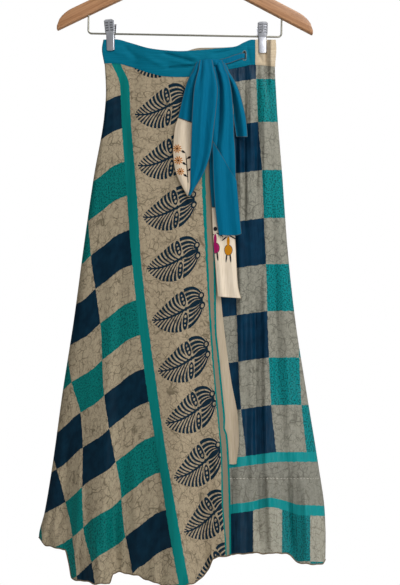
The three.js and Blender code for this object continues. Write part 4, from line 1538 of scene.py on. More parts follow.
@dataclass(frozen=True)
class SkirtPanels:
    """The overlap, the underlap with its hem piece, the back and the cream inner layer."""

    form: SkirtForm = SkirtForm()
    chart: SariPrint = SariPrint()
    hem_radius: float = 1.3
    seam_z: float = -980
    overlap_creases: tuple[Crease, ...] = (
        (-122, -262, -108, -420, 10, -1.6), (-60, -286, -36, -520, 16, -1.2),
        (-104, -300, -70, -640, 13, 1.2), (-150, -560, -152, -900, 14, -2.0), (-20, -420, 2, -760, 12, 1.0),
        (-206, -900, -222, -1100, 8, -3.4), (-186, -940, -196, -1160, 7, 3.0),
        (-176, -990, -172, -1160, 6, -2.4), (-132, -1020, -124, -1150, 9, -4.5),
        (-96, -930, -84, -1150, 10, 2.4), (-60, -900, -40, -1165, 10, -1.8),
        (20, -1000, 34, -1150, 7, -3.0), (48, -900, 56, -1120, 6, 1.6), (-30, -960, -12, -1165, 12, 1.8),
        (-232, -1030, -245, -1096, 5, -2.6), (-214, -1056, -226, -1102, 4, 2.6),
        (-190, -1104, -182, -1160, 4, -2.8), (-158, -1090, -150, -1163, 4, 2.6),
    )
    underlap_creases: tuple[Crease, ...] = (
        (86, -300, 84, -720, 4, -2.8), (101, -268, 100, -560, 3.5, -3.2), (124, -270, 122, -500, 3.5, -3.0),
        (112, -270, 112, -420, 3, 2.2), (135, -300, 140, -620, 4.5, 2.2), (96, -600, 94, -940, 5, 2.4),
        (118, -640, 121, -1000, 5, -4.2), (136, -620, 138, -1000, 5, 4.2), (150, -520, 158, -860, 6, -2.6),
        (170, -640, 180, -960, 7, 2.4), (192, -820, 204, -980, 7, -2.6),
    )
    hem_piece_creases: tuple[Crease, ...] = (
        (104, -984, 108, -1060, 5, 2.2), (121, -960, 124, -1100, 5, -4.2),
        (139, -960, 148, -1110, 6, 4.4), (172, -984, 184, -1112, 7, -3.2), (205, -984, 214, -1124, 7, 2.8),
    )
    back_creases: tuple[Crease, ...] = (
        (-118, -262, -136, -520, 12, -1.6), (-70, -270, -100, -640, 14, 1.4),
        (-24, -280, -30, -560, 12, -1.6), (40, -270, 60, -620, 13, 1.6), (96, -262, 120, -560, 10, -1.8),
        (-150, -640, -190, -1080, 12, -2.2), (-84, -700, -110, -1090, 12, 2.0),
        (10, -660, 6, -1080, 12, -2.0), (112, -640, 140, -1080, 12, 2.0), (170, -760, 200, -1100, 10, -2.0),
    )

    def below_band(self, tuck: float = 2.5) -> Curve:
        """The line under the front of the waistband where the panels are sewn in."""
        return lambda x: self.form.waistband.read("bottom", x) + tuck

    def back_band_bottom(self, x: Values) -> Values:
        """The lower edge of the waistband behind."""
        band = self.form.waistband
        return band.read("back_top", x) - (band.read("top", x) - band.read("bottom", x))

    def overlap(self) -> Panel:
        """The printed overlap, in front."""
        form = self.form
        return Panel(
            Piece(
                "overlap_cloth", "overlap_panel", Slot.OVERLAP, Cut(420, 910, 0.72),
                ("band_overlap_cloth",),
            ),
            form, Side.FRONT, form.overlap, form.left, form.overlap_edge.curve("x"), self.below_band(),
            form.overlap_hem.curve("z"), lambda x, z: self.chart.on_overlap(form, x, z), columns=124,
            rows=176, creases=self.overlap_creases, round_left=True, hem_ripple=2.8,
        )

    def underlap(self) -> Panel:
        """The checked underlap, down to its level seam."""
        form = self.form
        return Panel(
            Piece(
                "underlap_cloth", "underlap_panel", Slot.UNDERLAP, Cut(380, 725, 0.78),
                ("band_side_cloth",),
            ),
            form, Side.FRONT, form.front, form.underlap_edge.curve("x"), form.right, self.below_band(),
            lambda x: np.full_like(x, self.seam_z), self.chart.on_underlap, columns=160, rows=120,
            creases=self.underlap_creases, round_right=True, seam_z=self.seam_z, seam_pucker=2.6,
        )

    def hem_piece(self) -> Panel:
        """The piece seamed on below the underlap."""
        cut = Cut(400, 152, 0.92)
        return replace(
            self.underlap(),
            facts=Piece(
                "underlap_hem_cloth", "underlap_hem_piece", Slot.UNDERLAP, cut, ("underlap_cloth",),
            ),
            top=lambda x: np.full_like(x, self.seam_z + 1.5), bottom=self.form.underlap_hem.curve("z"),
            printed=self.chart.on_hem_piece, rows=34, creases=self.hem_piece_creases, hem_ripple=1.8,
        )

    def back(self) -> Panel:
        """The back of the skirt."""
        form = self.form
        return Panel(
            Piece("back_cloth", "back_panel", Slot.BACK, Cut(560, 880, 0.76), ("band_back_cloth",)), form,
            Side.BACK, form.back, form.left, form.right, lambda x: self.back_band_bottom(x) + 2.5,
            form.back_hem.curve("z"), self.chart.on_back, columns=150, rows=150,
            creases=self.back_creases, round_left=True, round_right=True, hem_ripple=1.4,
        )

    def inner_layer(self) -> Panel:
        """The edge of the cream layer between overlap and underlap."""
        form = self.form
        return Panel(
            Piece("inner_layer_cloth", "inner_layer_edge", Slot.CREAM, Cut(46, 690), ("band_side_cloth",)),
            form, Side.FRONT, form.inner, lambda z: form.inner_edge.read("x", z) - 46,
            form.inner_edge.curve("x"), lambda x: form.waistband.read("bottom", x) - 1,
            lambda x: np.full_like(x, -956.0), lambda x, z: (x, -z), columns=18, rows=130, wall=0.8,
            hem_ripple=1.0,
        )

    def hem_cord(self, name: str, count: int, panel: Panel) -> Object:
        """The overlocked thread round a panel's hem."""
        points = panel.points(np.linspace(0.002, 0.998, count), np.ones(count))
        return tube(name, points, self.hem_radius * MM)

    def seam_stitches(self, count: int = 420) -> Object:
        """The running stitch along the level seam, in and out of the cloth."""
        x, out, z = self.hem_piece().surface(np.linspace(0.3, 0.985, count), np.zeros(count))
        out = out + 0.5 + 0.9 * np.sin(np.arange(count) * math.pi / 5)
        return tube("underlap_seam_stitches", self.form.placed(x, -out, z - 3), 0.6 * MM, 4)

    def build(self) -> None:
        """Builds, dresses and declares every panel."""
        printed = PrintedCrepe("printed_crepe_with_leaves", leaves=True).make()
        checked = PrintedCrepe(
            "printed_crepe_checks", beige="#989689", border="#8f8e83", veins="#55534a", teal="#07878a",
            navy="#01263d", mottle="#053651", line="#0c8e90", hand=SILKY_CREPE,
        ).make()
        low_checked = PrintedCrepe(
            "printed_crepe_hem_checks", beige="#aba899", border="#8f8e83", veins="#636054",
            teal="#057f83", navy="#022539", mottle="#06334a", line="#0c8e90", hand=SILKY_CREPE,
        ).make()
        cream = PlainCotton("slubbed_cream_cotton", "#c9b9a2", "#ab9878").make()
        thread = HemThread().make()
        pale_thread = HemThread("pale_seam_thread", "#b3afa2", "#e2ded2").make()
        hems = {
            "overlap_cloth": ("overlap_hem_thread", 420),
            "underlap_hem_cloth": ("underlap_hem_thread", 300), "back_cloth": ("back_hem_thread", 420),
        }
        finishes = (
            (self.overlap(), printed), (self.underlap(), checked), (self.hem_piece(), low_checked),
            (self.back(), checked), (self.inner_layer(), cream),
        )
        for panel, material in finishes:
            piece = panel.build()
            sewn_on = []
            if panel.facts.name in hems:
                sewn_on.append(self.hem_cord(*hems[panel.facts.name], panel))
            if panel.facts.name == "underlap_hem_cloth":
                sewn_on.append(self.seam_stitches())
            for trim in sewn_on:
                hand_over(trim, pale_thread if "stitches" in trim.name else thread, panel.facts.slot)
            declare(piece, material, panel.facts, *sewn_on)


@dataclass(frozen=True)
class Waistband:
    """The waistband: teal over the overlap and the side, cream beside the right clip and behind.

    Its side piece has a buttonhole, where the tie comes through.
    """

    form: SkirtForm = SkirtForm()
    wall: float = 2.0
    puff: float = 1.3
    overlap_end: float = 31
    side_start: float = -62
    teal_end: float = 119
    slit_at: Pair = (100.2, -243.5)
    slit_size: Pair = (4.2, 15)
    stitch_radius: float = 0.8
    front_creases: tuple[Crease, ...] = (
        (-44, -239, 14, -256, 3.0, -4.2), (-40, -266, 16, -261, 2.6, -5.0),
        (-30, -252, 12, -259, 2.6, 2.0), (-76, -244, -30, -268, 4.5, 1.8),
        (-112, -226, -84, -252, 5, -1.7), (-2, -241, 20, -250, 2.6, 2.0), (-128, -236, -100, -244, 4, 1.4),
    )
    side_creases: tuple[Crease, ...] = (
        (44, -242, 92, -231, 3.2, -2.2), (40, -236, 78, -229, 2.6, 1.3),
        (104, -226, 110, -256, 2.8, -1.5), (66, -263, 98, -256, 3, 1.6),
    )
    cream_creases: tuple[Crease, ...] = (
        (139, -220, 137, -260, 2.0, -2.6), (147, -220, 146, -260, 3.4, 1.6),
        (124, -240, 133, -256, 3, -1.4),
    )
    back_creases: tuple[Crease, ...] = (
        (-60, -238, 20, -262, 5, -1.2), (30, -236, 84, -252, 5, 1.0), (-110, -226, -84, -256, 5, -1.0),
    )

    def strip(
        self, facts: Piece, left: Curve, right: Curve, columns: int, creases: tuple[Crease, ...]
    ) -> Panel:
        """Lays out a piece of the front of the band.

        Args:
            facts: Its name, node, slot and cut.
            left: Its left edge.
            right: Its right edge.
            columns: How many faces it has across.
            creases: Its creases.

        Returns:
            The piece, not yet built.
        """
        return Panel(
            facts, self.form, Side.FRONT, self.form.front, left, right, self.form.waistband.curve("top"),
            self.form.waistband.curve("bottom"), lambda x, z: (z, x), columns=columns, rows=22,
            wall=self.wall, creases=creases, puff=self.puff, crease_share=1,
        )

    def strips(self) -> tuple[Panel, ...]:
        """The band's strips.

        Returns:
            The teal one over the overlap, the teal one with the buttonhole, the cream one that the right
            clip holds and the cream one behind.
        """
        form = self.form
        overlap = self.strip(
            Piece(
                "band_overlap_cloth", "band_overlap", Slot.TEAL, Cut(177, 44),
                ("clip_left_front_jaw_plate",),
            ),
            form.left, lambda z: np.full_like(z, self.overlap_end), 90, self.front_creases,
        )
        side = self.strip(
            Piece("band_side_cloth", "band_side", Slot.TEAL, Cut(182, 41), ("band_side_cream_cloth",)),
            lambda z: np.full_like(z, self.side_start), lambda z: np.full_like(z, self.teal_end), 110,
            self.side_creases,
        )
        held = ("clip_right_front_jaw_plate",)
        cream = self.strip(
            Piece("band_side_cream_cloth", "band_side_cream", Slot.CREAM, Cut(38, 45), held),
            lambda z: np.full_like(z, self.teal_end + 0.3), form.right, 44, self.cream_creases,
        )
        held = ("clip_left_rear_jaw_plate", "clip_right_rear_jaw_plate")
        facts = Piece("band_back_cloth", "band_back", Slot.CREAM, Cut(304, 42), held)
        back = self.strip(facts, form.left, form.right, 120, self.back_creases)
        return (
            replace(overlap, depth=form.overlap, round_left=True), side,
            replace(cream, round_right=True, fold_share=0.22),
            replace(
                back, side=Side.BACK, depth=form.back, top=form.waistband.curve("back_top"),
                bottom=SkirtPanels(form).back_band_bottom, round_left=True, round_right=True,
                fold_share=0.06,
            ),
        )

    def slit_outline(self, grow: float, count: int) -> Places:
        """The buttonhole's rounded outline.

        Args:
            grow: How much wider it is on every side, in mm.
            count: How many points it has.

        Returns:
            The points' places across and heights, in mm.
        """
        turn = np.linspace(0, 2 * math.pi, count, endpoint=False)
        half_width = self.slit_size[0] / 2 + grow
        half_height = self.slit_size[1] / 2 + grow
        straight = half_height - half_width
        x = self.slit_at[0] + half_width * np.cos(turn)
        z = self.slit_at[1] + half_width * np.sin(turn) + straight * np.sign(np.sin(turn))
        return x, z

    def open_slit(self, strip: Object) -> None:
        """Cuts the buttonhole out of the side strip.

        Args:
            strip: The strip's mesh object.
        """
        cutter = new_piece(
            "slit_cutter", bpy.ops.mesh.primitive_cylinder_add, vertices=24,
            radius=self.slit_size[0] / 2 * MM, depth=60 * MM,
            location=(self.slit_at[0] * MM, 0, self.slit_at[1] * MM), rotation=(math.pi / 2, 0, 0),
        )
        bpy.ops.object.transform_apply(location=False)
        points = corners_of(cutter.data)
        straight = (self.slit_size[1] - self.slit_size[0]) / 2 * MM
        points[:, 2] += straight * np.sign(np.round(points[:, 2], 7))
        move_corners(cutter.data, points)
        apply_modifier(strip, "BOOLEAN", object=cutter, operation="DIFFERENCE", solver="EXACT")
        bpy.data.objects.remove(cutter)

    def stitching(self) -> Object:
        """Sews the buttonhole's close stitches round the slit.

        Returns:
            The mesh object.
        """
        x, z = self.slit_outline(0.9, 72)
        out = self.form.front(x, z) + self.puff + 0.5
        wave = 0.25 * np.sin(np.arange(72) * math.pi)
        points = self.form.placed(x, -(out + wave), z)
        return tube("buttonhole_stitching", np.r_[points, points[:1]], self.stitch_radius * MM)

    def build(self) -> None:
        teal = PlainCotton("teal_cotton_cambric", "#026a83", "#12809c", 0.45).make()
        cream = PlainCotton("cream_band_cotton", "#d6c5aa", "#b8a27f", 0.6).make()
        twist = HemThread("teal_buttonhole_twist", "#4c5f66", "#8c9494").make()
        for strip, material in zip(self.strips(), (teal, teal, cream, cream)):
            piece = strip.build()
            trims = []
            if strip.facts.name == "band_side_cloth":
                self.open_slit(piece)
                shade(piece, 75)
                trims.append(self.stitching())
                hand_over(trims[0], twist, Slot.TEAL)
            declare(piece, material, strip.facts, *trims)


# The motifs printed on the cream pieces


@dataclass(frozen=True)
class SunFlower:
    """A round flower of petals round a middle, as on old block prints."""

    at: Pair
    radius: float
    petals: int = 10
    colour: str = "#bb7424"
    middle: str = "#6b3a1a"

    def dabs(self) -> list[Dab]:
        """Draws the motif.

        Returns:
            Its strokes, in metres.
        """
        x, z = self.at
        strokes = []
        for n in range(self.petals):
            turn = 2 * math.pi * n / self.petals
            at = (
                (x + 0.62 * self.radius * math.cos(turn)) * MM,
                (z + 0.62 * self.radius * math.sin(turn)) * MM,
            )
            half = (0.36 * self.radius * MM, 0.13 * self.radius * MM)
            strokes.append(Dab(at, half, math.degrees(turn), self.colour))
        middle = (0.26 * self.radius * MM, 0.26 * self.radius * MM)
        strokes.append(Dab((x * MM, z * MM), middle, 0, self.middle))
        return strokes


@dataclass(frozen=True)
class BudBranch:
    """A thin upright branch with a bud on each side twig."""

    foot: Pair
    height: float
    lean: float = 6
    buds: int = 5
    bud_size: float = 5.0
    colour: str = "#1d1c20"

    def dabs(self) -> list[Dab]:
        """Draws the motif.

        Returns:
            Its strokes, in metres.
        """
        slope = math.radians(90 + self.lean)
        along, up = math.cos(slope), math.sin(slope)
        centre = (self.foot[0] + along * self.height / 2, self.foot[1] + up * self.height / 2)
        stem = (self.height / 2 * MM, 1.0 * MM)
        strokes = [Dab((centre[0] * MM, centre[1] * MM), stem, math.degrees(slope), self.colour)]
        for n in range(self.buds):
            share = 0.2 + 0.8 * n / (self.buds - 1)
            side = 1 if n % 2 else -1
            reach = self.bud_size
            x = self.foot[0] + along * self.height * share + side * reach
            z = self.foot[1] + up * self.height * share + reach * 0.6
            turn = 30 if side > 0 else 150
            half = (self.bud_size * 0.7 * MM, self.bud_size * 0.4 * MM)
            strokes.append(Dab((x * MM, z * MM), half, turn, self.colour))
            twig = (reach * 0.55 * MM, 0.8 * MM)
            at = ((x - side * reach * 0.5) * MM, (z - reach * 0.3) * MM)
            strokes.append(Dab(at, twig, turn, self.colour))
        return strokes


@dataclass(frozen=True)
class FolkFigure:
    """A small folk figure of plain strokes: a head, a body, a skirt, arms and legs."""

    foot: Pair
    height: float
    dress: str
    limb: str = "#2b2a2e"

    def dabs(self) -> list[Dab]:
        """Draws the motif.

        Returns:
            Its strokes, in metres.
        """
        x, z, h = self.foot[0], self.foot[1], self.height

        def stroke(across: float, up: float, half: Pair, turn: float, colour: str) -> Dab:
            """One stroke, its place and size as shares of the height."""
            at = ((x + across * h) * MM, (z + up * h) * MM)
            return Dab(at, (half[0] * h * MM, half[1] * h * MM), turn, colour)

        return [
            stroke(-0.05, 0.13, (0.14, 0.022), 84, self.limb),
            stroke(0.06, 0.13, (0.14, 0.022), 96, self.limb),
            stroke(0.0, 0.34, (0.115, 0.155), 0, self.limb), stroke(0.0, 0.34, (0.1, 0.14), 0, self.dress),
            stroke(0.0, 0.58, (0.04, 0.15), 0, self.dress),
            stroke(-0.11, 0.66, (0.10, 0.02), 38, self.limb),
            stroke(0.12, 0.70, (0.11, 0.02), -30, self.limb), stroke(0.0, 0.86, (0.05, 0.06), 0, self.limb),
        ]


# The bow


@dataclass(frozen=True)
class Ridge:
    """A soft fold along a strand: its share of the way across, its width and rise in mm, and its ends."""

    share: float
    width: float
    rise: float
    start: float = -0.2
    end: float = 1.2


StrandRow = tuple[float, float, float, float, float]


@dataclass(frozen=True)
class Strand:
    """A strand of the bow. Each row is a line across it, from one edge to the other, seen from the front,
    with its distance out from the skirt."""

    facts: Piece
    table: tuple[StrandRow, ...]
    ridges: tuple[Ridge, ...] = ()
    form: SkirtForm = SkirtForm()
    columns: int = 26
    rows: int = 70
    wall: float = 1.7
    crown: float = 2.2
    shoulder: float = 0
    shoulder_rise: float = 8
    shoulder_fall: float = 9
    frayed: float = 0

    def read(self, column: str, at: Values) -> Values:
        """Reads a column of the strand's table at a place along it."""
        rows = tuple((float(n), *row) for n, row in enumerate(self.table))
        return table("n ax az bx bz out", *rows).read(column, at)

    def surface(self, share: Values, down: Values) -> tuple[Values, Values, Values]:
        """Where points of the strand lie.

        Args:
            share: Their share of the way across.
            down: Their share of the way along.

        Returns:
            Their places across, their distances out from the skirt and their heights, in mm.
        """
        at = down * (len(self.table) - 1)
        x = blend(self.read("ax", at), self.read("bx", at), share)
        z = blend(self.read("az", at), self.read("bz", at), share)
        width = self.read("bx", at) - self.read("ax", at)
        out = self.read("out", at) + self.crown * (np.sin(math.pi * share) - 0.5)
        for ridge in self.ridges:
            off = (share - ridge.share) * width / ridge.width
            ends = smooth(ridge.start, ridge.start + 0.2, down)
            ends = ends * (1 - smooth(ridge.end - 0.2, ridge.end, down))
            out = out + ridge.rise * ends * np.exp(-(off**2))
        if self.shoulder:
            reach = self.facts.cut.length * down
            turn = math.pi / 2 * (1 - np.clip(reach / self.shoulder, 0, 1))
            out = out - self.shoulder_fall * (1 - np.cos(turn))
            z = z + self.shoulder_rise * np.sin(turn)
        if self.frayed:
            z = z + smooth(0.97, 1, down) * ripple(share * 40, self.frayed)
        return x, out, z

    def build(self) -> Object:
        """Lays the strand out, maps its cloth and gives it its thickness.

        Returns:
            The mesh object.
        """
        piece, share, down = new_grid(self.facts.name, self.columns, self.rows)
        x, out, z = self.surface(share, down)
        move_corners(piece.data, self.form.placed(x, -(self.form.front(x, z) + out), z))
        map_points(piece.data, "print", x * MM, z * MM)
        at = down * (len(self.table) - 1)
        width = np.hypot(
            self.read("bx", at) - self.read("ax", at), self.read("bz", at) - self.read("az", at)
        )
        length = self.facts.cut.length
        sides = np.minimum(share, 1 - share) * width
        ends = (1 - down) * length
        if not self.shoulder:
            ends = np.minimum(ends, down * length)
        inset = np.minimum(sides, ends)
        # The inset from the edges, where the seamed edge and its painted shade are drawn.
        map_points(piece.data, "edge", inset * MM, inset * MM)
        apply_modifier(piece, "SOLIDIFY", thickness=self.wall * MM, offset=0)
        shade(piece, 70)
        return piece


@dataclass(frozen=True)
class Bow:
    """The bow that the tie makes in front: two loops, a tail with a cream back strip, and its gather."""

    form: SkirtForm = SkirtForm()
    loop_back: tuple[StrandRow, ...] = (
        (19, -259.8, 28, -259.8, 10), (2, -286, 23, -286, 10), (-7, -316, 19, -318, 10),
        (-15.5, -352, 17.5, -363.5, 10),
    )
    loop_pieced: tuple[StrandRow, ...] = (
        (-15.6, -352.4, 17.4, -363.9, 10), (-21, -370, 16, -378, 10), (-24, -408, 14, -412, 10),
        (-21, -440, 14, -440, 10.3), (-15.5, -457, 12, -457, 10.7), (-5, -478, 8, -476, 10.9),
        (0.5, -488, 4, -487, 11),
    )
    loop_front: tuple[StrandRow, ...] = (
        (22.5, -259.8, 43.5, -259.8, 15.5), (17.5, -277, 49, -277, 18.5), (12, -303.5, 53, -303.5, 20),
        (9.5, -338, 50.5, -335, 20), (8, -373, 46, -373, 18.5), (7, -408, 42, -408, 16),
        (6, -443, 31.5, -443, 14), (6, -469, 15, -472, 13.6), (2.5, -487, 5.5, -488.5, 13.4),
    )
    tail_upper: tuple[StrandRow, ...] = (
        (45, -259.8, 61, -259.8, 12.5), (50.5, -277, 71.5, -277, 14), (54.5, -303.5, 77.5, -303.5, 14.5),
        (54, -338, 80.5, -338, 14.5), (48.5, -382, 82, -382, 13.5), (43.5, -408, 84, -408, 12.5),
        (47, -440, 85.5, -466, 12.5),
    )
    tail_lower: tuple[StrandRow, ...] = (
        (44.5, -391, 86.5, -462, 17), (46, -450, 88, -478, 17), (48, -495, 90, -500, 16),
        (51.5, -530, 92.5, -530, 14.5), (56, -559, 95, -555, 13),
    )
    right_loop: tuple[StrandRow, ...] = (
        (52, -259.8, 63, -259.8, 7.6), (62, -281, 79, -281, 7), (71.5, -303.5, 90, -303.5, 7),
        (77, -330, 97.5, -330, 7), (81, -356, 103, -356, 7), (85.5, -385.5, 105.5, -385.5, 7),
    )
    back_tail: tuple[StrandRow, ...] = (
        (30, -259.8, 52, -259.8, 6.8), (36.5, -303, 62, -303, 6.8), (36.5, -338, 62, -338, 7),
        (38.5, -408, 66, -408, 7.4), (39.5, -460, 71.5, -460, 8), (43, -508, 80, -508, 8),
    )
    back_tail_end: tuple[StrandRow, ...] = (
        (43, -508.4, 80.1, -508.4, 8), (45.5, -556, 84, -560, 8.2), (49, -600, 86, -600, 8.6),
        (51.5, -635, 89, -644, 9), (54, -664, 94, -667, 9.3),
    )
    to_slit: tuple[StrandRow, ...] = (
        (48, -260, 48, -251, 0.4), (62, -258.8, 61, -249.4, 2.6), (73.5, -257, 71.5, -246.5, 4.4),
        (85.5, -252.5, 84, -242, 4.2), (96, -249, 96, -239, 3.4), (99.3, -248.5, 99.3, -239, 2.4),
        (100.3, -248.5, 100.3, -239, 0.8), (100.3, -248.5, 100.3, -239, -0.6),
    )
    gather_x: Pair = (19, 65)
    gather_z: Pair = (-249.5, -262)
    gather_out: Pair = (3, 7.5)
    motifs: tuple[SunFlower | BudBranch, ...] = (
        SunFlower((-17, -406), 8), SunFlower((-15, -426.5), 8.2), SunFlower((-11.5, -446), 7),
        BudBranch((2.5, -466), 52, 5),
    )
    figures: tuple[FolkFigure, ...] = (
        FolkFigure((49.5, -601), 64, "#a91f63"), FolkFigure((72, -604), 62, "#cc861c"),
    )

    def strands(self) -> tuple[Strand, ...]:
        """The bow's strands, from the back to the front."""
        return (
            self.strand(
                "right_loop", Cut(20, 128), self.right_loop, Ridge(0.14, 7, -8, 0.05),
                Ridge(0.74, 3.5, 2.4), shoulder=17,
            ),
            self.strand(
                "back_tail_teal", Cut(28, 250, 0.95), self.back_tail, Ridge(0.4, 5, 1.6),
                Ridge(0.8, 4, -1.6), shoulder=17,
            ),
            self.strand(
                "back_tail_cream", Cut(40, 158, 0.95), self.back_tail_end, Ridge(0.18, 4, 1.8),
                Ridge(0.44, 6, -2.0), Ridge(0.8, 4, 1.6),
            ),
            self.strand(
                "left_loop_back", Cut(32, 104, 0.75), self.loop_back, Ridge(0.3, 4, 2.0),
                Ridge(0.7, 4, -2.4), shoulder=17,
            ),
            self.strand(
                "left_loop_pieced", Cut(38, 130, 0.78), self.loop_pieced, Ridge(0.25, 5, 1.4),
                Ridge(0.55, 5, -1.8), Ridge(0.8, 4, 1.2),
            ),
            self.strand(
                "tail_upper", Cut(36, 194, 0.9), self.tail_upper, Ridge(0.0, 8, -11, -0.2, 1.0),
                Ridge(0.45, 4, 2.0), Ridge(0.72, 4, -2.4), shoulder=17,
            ),
            self.strand(
                "tail_lower", Cut(44, 126, 0.9), self.tail_lower, Ridge(0.2, 5, 1.6), Ridge(0.52, 6, -2.0),
                Ridge(0.84, 4, 1.6), frayed=1.4,
            ),
            self.strand(
                "left_loop_front", Cut(44, 232, 0.75), self.loop_front, Ridge(0.2, 3, -3.2, -0.2, 0.3),
                Ridge(0.42, 4, 1.6), Ridge(0.62, 5, -3.4, 0.1), Ridge(0.92, 4, 3.0), shoulder=17,
            ),
        )

    def strand(
        self, node: str, cut: Cut, table: tuple[StrandRow, ...], *ridges: Ridge, **sizes: float
    ) -> Strand:
        """A strand that stands for a node of the same name.

        Args:
            node: The node's name.
            cut: Its flat size.
            table: Its lines from edge to edge.
            *ridges: Its soft folds.
            **sizes: Its other fields.

        Returns:
            The strand, not yet built.
        """
        slot = Slot.CREAM if node in ("left_loop_pieced", "back_tail_cream") else Slot.TEAL
        return Strand(Piece(node + "_cloth", node, slot, cut, ("tie_knot_gather",)), table, ridges, **sizes)

    def gather(self) -> Object:
        """Makes the fan of pleats where the ties cross under the band.

        Returns:
            The mesh object.
        """
        piece, share, round_share = new_grid("tie_knot_gather", 90, 26)
        turn = math.pi * round_share
        pleats = 0.7 * np.sin(share * 2 * math.pi * 4.5 + 0.6 * np.sin(turn))
        narrow = blend(1, 0.8, smooth(0, 1, np.cos(turn) * 0.5 + 0.5))
        left, right = self.gather_x
        top, bottom = self.gather_z
        x = (left + right) / 2 + (share - 0.5) * (right - left) * narrow
        fade = np.sin(math.pi * np.clip(share, 0, 1)) ** 0.35
        half = (top - bottom) / 2 * blend(0.55, 1, fade)
        z = (top + bottom) / 2 + half * np.cos(turn)
        near, far = self.gather_out
        out = near + (far - near) * np.sin(turn) ** 0.7 * blend(0.5, 1, fade)
        out = out + pleats * np.sin(turn)
        move_corners(piece.data, self.form.placed(x, -(self.form.front(x, z) + out), z))
        map_points(piece.data, "print", x * MM, z * MM)
        map_points(piece.data, "edge", np.ones_like(x), np.ones_like(x))
        apply_modifier(piece, "SOLIDIFY", thickness=1.4 * MM, offset=-1)
        shade(piece, 80)
        return piece

    def fray(self) -> Object:
        """Makes the loose threads at the tail's raw end.

        Returns:
            The mesh object.
        """
        threads = []
        end = self.tail_lower[-1]
        for n in range(9):
            share = (n + 0.5) / 9
            x = blend(end[0], end[2], share)
            z = blend(end[1], end[3], share) + 0.5
            length = 3.2 + 2.2 * math.sin(n * 2.3)
            steps = np.linspace(0, 1, 6)
            wave = 0.7 * np.sin(steps * 3 + n)
            out = self.form.front(np.array(x), np.array(z)) + end[4]
            points = self.form.placed(x + wave * steps, -out + 0.4 * wave, z - length * steps)
            threads.append(tube(f"tail_thread_{n}", points, 0.22 * MM, 4))
        return join("tail_frayed_threads", *threads)

    def build(self) -> None:
        # Each bow cloth's last colour is its edge line: the seamed edge and painted shade.
        teal = PlainCotton("teal_tie_cambric", "#016688", "#0c7797", 0.4, "#574c3a").make()
        suns = [dab for motif in self.motifs for dab in motif.dabs()]
        people = [dab for figure in self.figures for dab in figure.dabs()]
        loop_print = PlainCotton("cream_loop_print", "#e3d3bc", "#c4b094", 0.5, "#8a7658").make(suns)
        tail_print = PlainCotton("cream_tail_print", "#f0e1cc", "#cfbd9f", 0.5, "#8a7658").make(people)
        creams = {"left_loop_pieced_cloth": loop_print, "back_tail_cream_cloth": tail_print}
        for strand in self.strands():
            piece = strand.build()
            trims = []
            if strand.facts.name == "tail_lower_cloth":
                trims.append(self.fray())
                hand_over(trims[0], teal, Slot.TEAL)
            declare(piece, creams.get(strand.facts.name, teal), strand.facts, *trims)
        cut = Cut(60, 14)
        facts = Piece("tie_knot_gather", "tie_knot", Slot.TEAL, cut, ("tie_to_slit_cloth",), "gathered")
        declare(self.gather(), teal, facts)
        cut = Cut(56, 12)
        facts = Piece(
            "tie_to_slit_cloth", "tie_through_slit", Slot.TEAL, cut, ("band_side_cloth",), "stretched",
        )
        ridges = (Ridge(0.5, 2.4, -0.7), Ridge(0.85, 2, 0.5))
        tie = Strand(facts, self.to_slit, ridges, columns=16, rows=50, wall=1.3, crown=0.4)
        declare(tie.build(), teal, facts)


# The hanger and its clips


def edit(piece: Object) -> None:
    """Opens a piece in edit mode with all of it selected."""
    select_only(piece)
    bpy.ops.object.mode_set(mode="EDIT")
    bpy.ops.mesh.select_all(action="SELECT")


def leave_edit() -> None:
    """Turns all normals outwards and goes back to object mode."""
    bpy.ops.mesh.select_all(action="SELECT")
    bpy.ops.mesh.normals_make_consistent(inside=False)
    bpy.ops.object.mode_set(mode="OBJECT")


def turn_and_apply(piece: Object, degrees: float, at: Triple, swing: float = 0) -> None:
    """Turns a piece about Y and then Z, moves it to a place in mm and applies all of it.

    Args:
        piece: The mesh object.
        degrees: The turn about Y, right side down.
        at: Where its own origin goes.
        swing: The turn about Z, in degrees.
    """
    select_only(piece)
    piece.rotation_euler = (0, math.radians(degrees), math.radians(swing))
    piece.location = tuple(value * MM for value in at)
    bpy.ops.object.transform_apply()


@dataclass(frozen=True)
class WireBend:
    """One step of a bent wire: straight by a vector, or round a centre by an angle, in mm and degrees."""

    by: Triple = (0, 0, 0)
    centre: Pair = (0, 0)
    angle: float = 0


@dataclass(frozen=True)
class Wire:
    """A bent wire, made from a ring that is drawn out and spun about the plane of the hanger."""

    name: str
    radius: float
    start: Triple
    bends: tuple[WireBend, ...]

    def build(self) -> Object:
        """Draws the ring along the bends and closes its ends.

        Returns:
            The mesh object.
        """
        piece = new_piece(
            self.name, bpy.ops.mesh.primitive_circle_add, vertices=18, radius=self.radius * MM,
            location=tuple(v * MM for v in self.start),
        )
        bpy.ops.object.transform_apply()
        edit(piece)
        for bend in self.bends:
            if bend.angle:
                bpy.ops.mesh.spin(
                    steps=max(4, round(abs(bend.angle) / 7)), angle=-math.radians(bend.angle),
                    center=(bend.centre[0] * MM, 0, bend.centre[1] * MM), axis=(0, 1, 0),
                )
            else:
                bpy.ops.mesh.extrude_region_move(
                    TRANSFORM_OT_translate={"value": tuple(v * MM for v in bend.by)}
                )
        bpy.ops.mesh.select_all(action="SELECT")
        bpy.ops.mesh.remove_doubles(threshold=1e-6)
        bpy.ops.mesh.fill_holes(sides=0)
        leave_edit()
        shade(piece, 50)
        return piece


